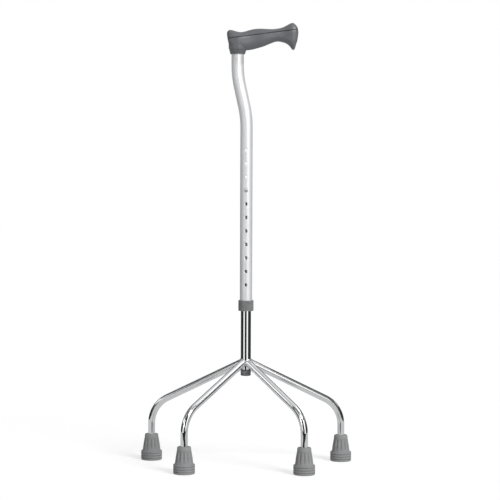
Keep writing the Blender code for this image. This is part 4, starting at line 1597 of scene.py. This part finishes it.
def make_stage():
    floor = plane("floor", (0, 0, -FLOOR_DROP), FLOOR_SIZE, FLOOR_SIZE)
    glows = {"seen_glow": 1.32, "mirrored_glow": 0.50}
    floor.data.materials.append(stage_material("pale_floor", shade=0.86, share=0.49, **glows))
    white_world(light=0.42)
    sunlight("key", azimuth=42, rise=34, strength=2.3, spread=24)
    for index, sizes in enumerate(SCREENS):
        screen(f"screen_{index}", *sizes)
    for index, sizes in enumerate(FLAT_SCREENS):
        flat_screen(f"flat_screen_{index}", *sizes)
    scene = bpy.context.scene
    scene.view_settings.view_transform = "Standard"
    data = bpy.data.cameras.new("camera")
    data.lens = CAMERA_LENS
    data.sensor_width = CAMERA_SENSOR
    data.clip_end = CAMERA_CLIP
    camera = bpy.data.objects.new("camera", data)
    scene.collection.objects.link(camera)
    yaw = Matrix.Rotation(math.radians(CAMERA_YAW), 4, "Z")
    tilt = Matrix.Rotation(math.radians(CAMERA_TILT), 4, "X")
    roll = Matrix.Rotation(math.radians(CAMERA_ROLL), 4, "Z")
    place = yaw @ Vector(CAMERA_PLACE) + Vector((0, AXIS_Y, CAMERA_HEIGHT))
    camera.matrix_world = Matrix.Translation(place) @ yaw @ tilt @ roll
    scene.camera = camera


# Operators


class CANE_OT_finishes(bpy.types.Operator):
    """Makes the finishes of metal, plastic and rubber"""

    bl_idname = "cane.finishes"
    bl_label = "Finishes"

    def execute(self, context):
        make_finishes(context.scene.cane_colours)
        return {"FINISHED"}


class CANE_OT_outer_tube(bpy.types.Operator):
    """Bends and drills the outer tube"""

    bl_idname = "cane.outer_tube"
    bl_label = "Outer tube"

    def execute(self, context):
        make_outer_tube(context.scene.cane_tube)
        return {"FINISHED"}


class CANE_OT_label(bpy.types.Operator):
    """Wraps the blank label round the neck"""

    bl_idname = "cane.label"
    bl_label = "Blank label"

    def execute(self, context):
        make_label(context.scene.cane_tube)
        return {"FINISHED"}


class CANE_OT_button(bpy.types.Operator):
    """Turns the domed button and bends its spring"""

    bl_idname = "cane.button"
    bl_label = "Snap button"

    def execute(self, context):
        make_button(context.scene.cane_tube)
        make_spring()
        return {"FINISHED"}


class CANE_OT_collar(bpy.types.Operator):
    """Makes the threaded sleeve and the knurled collar"""

    bl_idname = "cane.collar"
    bl_label = "Sleeve and collar"

    def execute(self, context):
        make_sleeve(context.scene.cane_tube)
        make_collar(context.scene.cane_collar, context.scene.cane_base.stem_diameter / 2)
        return {"FINISHED"}


class CANE_OT_stem(bpy.types.Operator):
    """Makes the chromed stem and the plug in its foot"""

    bl_idname = "cane.stem"
    bl_label = "Stem and plug"

    def execute(self, context):
        make_stem(context.scene.cane_base)
        make_end_plug()
        return {"FINISHED"}


class CANE_OT_legs(bpy.types.Operator):
    """Bends the four legs and lays their welds"""

    bl_idname = "cane.legs"
    bl_label = "Legs and welds"

    def execute(self, context):
        for place in LEGS:
            make_leg(context.scene.cane_base, place)
        make_welds(context.scene.cane_base)
        return {"FINISHED"}


class CANE_OT_feet(bpy.types.Operator):
    """Makes the four rubber feet"""

    bl_idname = "cane.feet"
    bl_label = "Rubber feet"

    def execute(self, context):
        make_foot(context.scene.cane_base)
        return {"FINISHED"}


class CANE_OT_grip(bpy.types.Operator):
    """Moulds the grip in its two halves"""

    bl_idname = "cane.grip"
    bl_label = "Grip"

    def execute(self, context):
        make_grip(context.scene.cane_grip, context.scene.cane_tube.diameter / 2)
        return {"FINISHED"}


class CANE_OT_inner_parts(bpy.types.Operator):
    """Gives the parts inside the tubes, grip and feet their finishes"""

    bl_idname = "cane.inner_parts"
    bl_label = "Inner parts"

    def execute(self, context):
        kept = {
            "nylon": ("tube_plug", "clamp_ring"),
            "zinc": ("handle_screw", "handle_washer", "slip_washer"),
        }
        kept["zinc"] += tuple("ferrule_washer_" + place for place in LEGS)
        for finish, names in kept.items():
            for name in names:
                mesh = FRAME["nodes"][name].data
                mesh.materials.clear()
                mesh.materials.append(FINISHES[finish].material)
        return {"FINISHED"}


class CANE_OT_stage(bpy.types.Operator):
    """Sets the floor, the light, the screens and the camera"""

    bl_idname = "cane.stage"
    bl_label = "Stage"

    def execute(self, context):
        make_stage()
        return {"FINISHED"}


STEPS = (
    CANE_OT_finishes,
    CANE_OT_outer_tube,
    CANE_OT_label,
    CANE_OT_button,
    CANE_OT_collar,
    CANE_OT_stem,
    CANE_OT_legs,
    CANE_OT_feet,
    CANE_OT_grip,
    CANE_OT_inner_parts,
    CANE_OT_stage,
)
GROUPS = {
    "cane_tube": CaneTubeSizes,
    "cane_base": CaneBaseSizes,
    "cane_grip": CaneGripSizes,
    "cane_collar": CaneCollarSizes,
    "cane_colours": CaneColours,
}


class CANE_PT_steps(bpy.types.Panel):
    bl_idname = "CANE_PT_steps"
    bl_label = "Quad cane"
    bl_space_type = "VIEW_3D"
    bl_region_type = "UI"
    bl_category = "Quad cane"

    def draw(self, context):
        layout = self.layout
        for step in STEPS:
            layout.operator(step.bl_idname)
        for name, group in GROUPS.items():
            box = layout.box()
            for key in group.__annotations__:
                box.prop(getattr(context.scene, name), key)


def register():
    for group in (*GROUPS.values(), *STEPS, CANE_PT_steps):
        bpy.utils.register_class(group)
    for name, group in GROUPS.items():
        setattr(bpy.types.Scene, name, PointerProperty(type=group))


def unregister():
    for name in GROUPS:
        delattr(bpy.types.Scene, name)
    for group in (CANE_PT_steps, *reversed(STEPS), *reversed(tuple(GROUPS.values()))):
        bpy.utils.unregister_class(group)


def main():
    register()
    for step in STEPS:
        area, name = step.bl_idname.split(".")
        getattr(getattr(bpy.ops, area), name)()
    deselect_all()


if __name__ == "__main__":
    main()
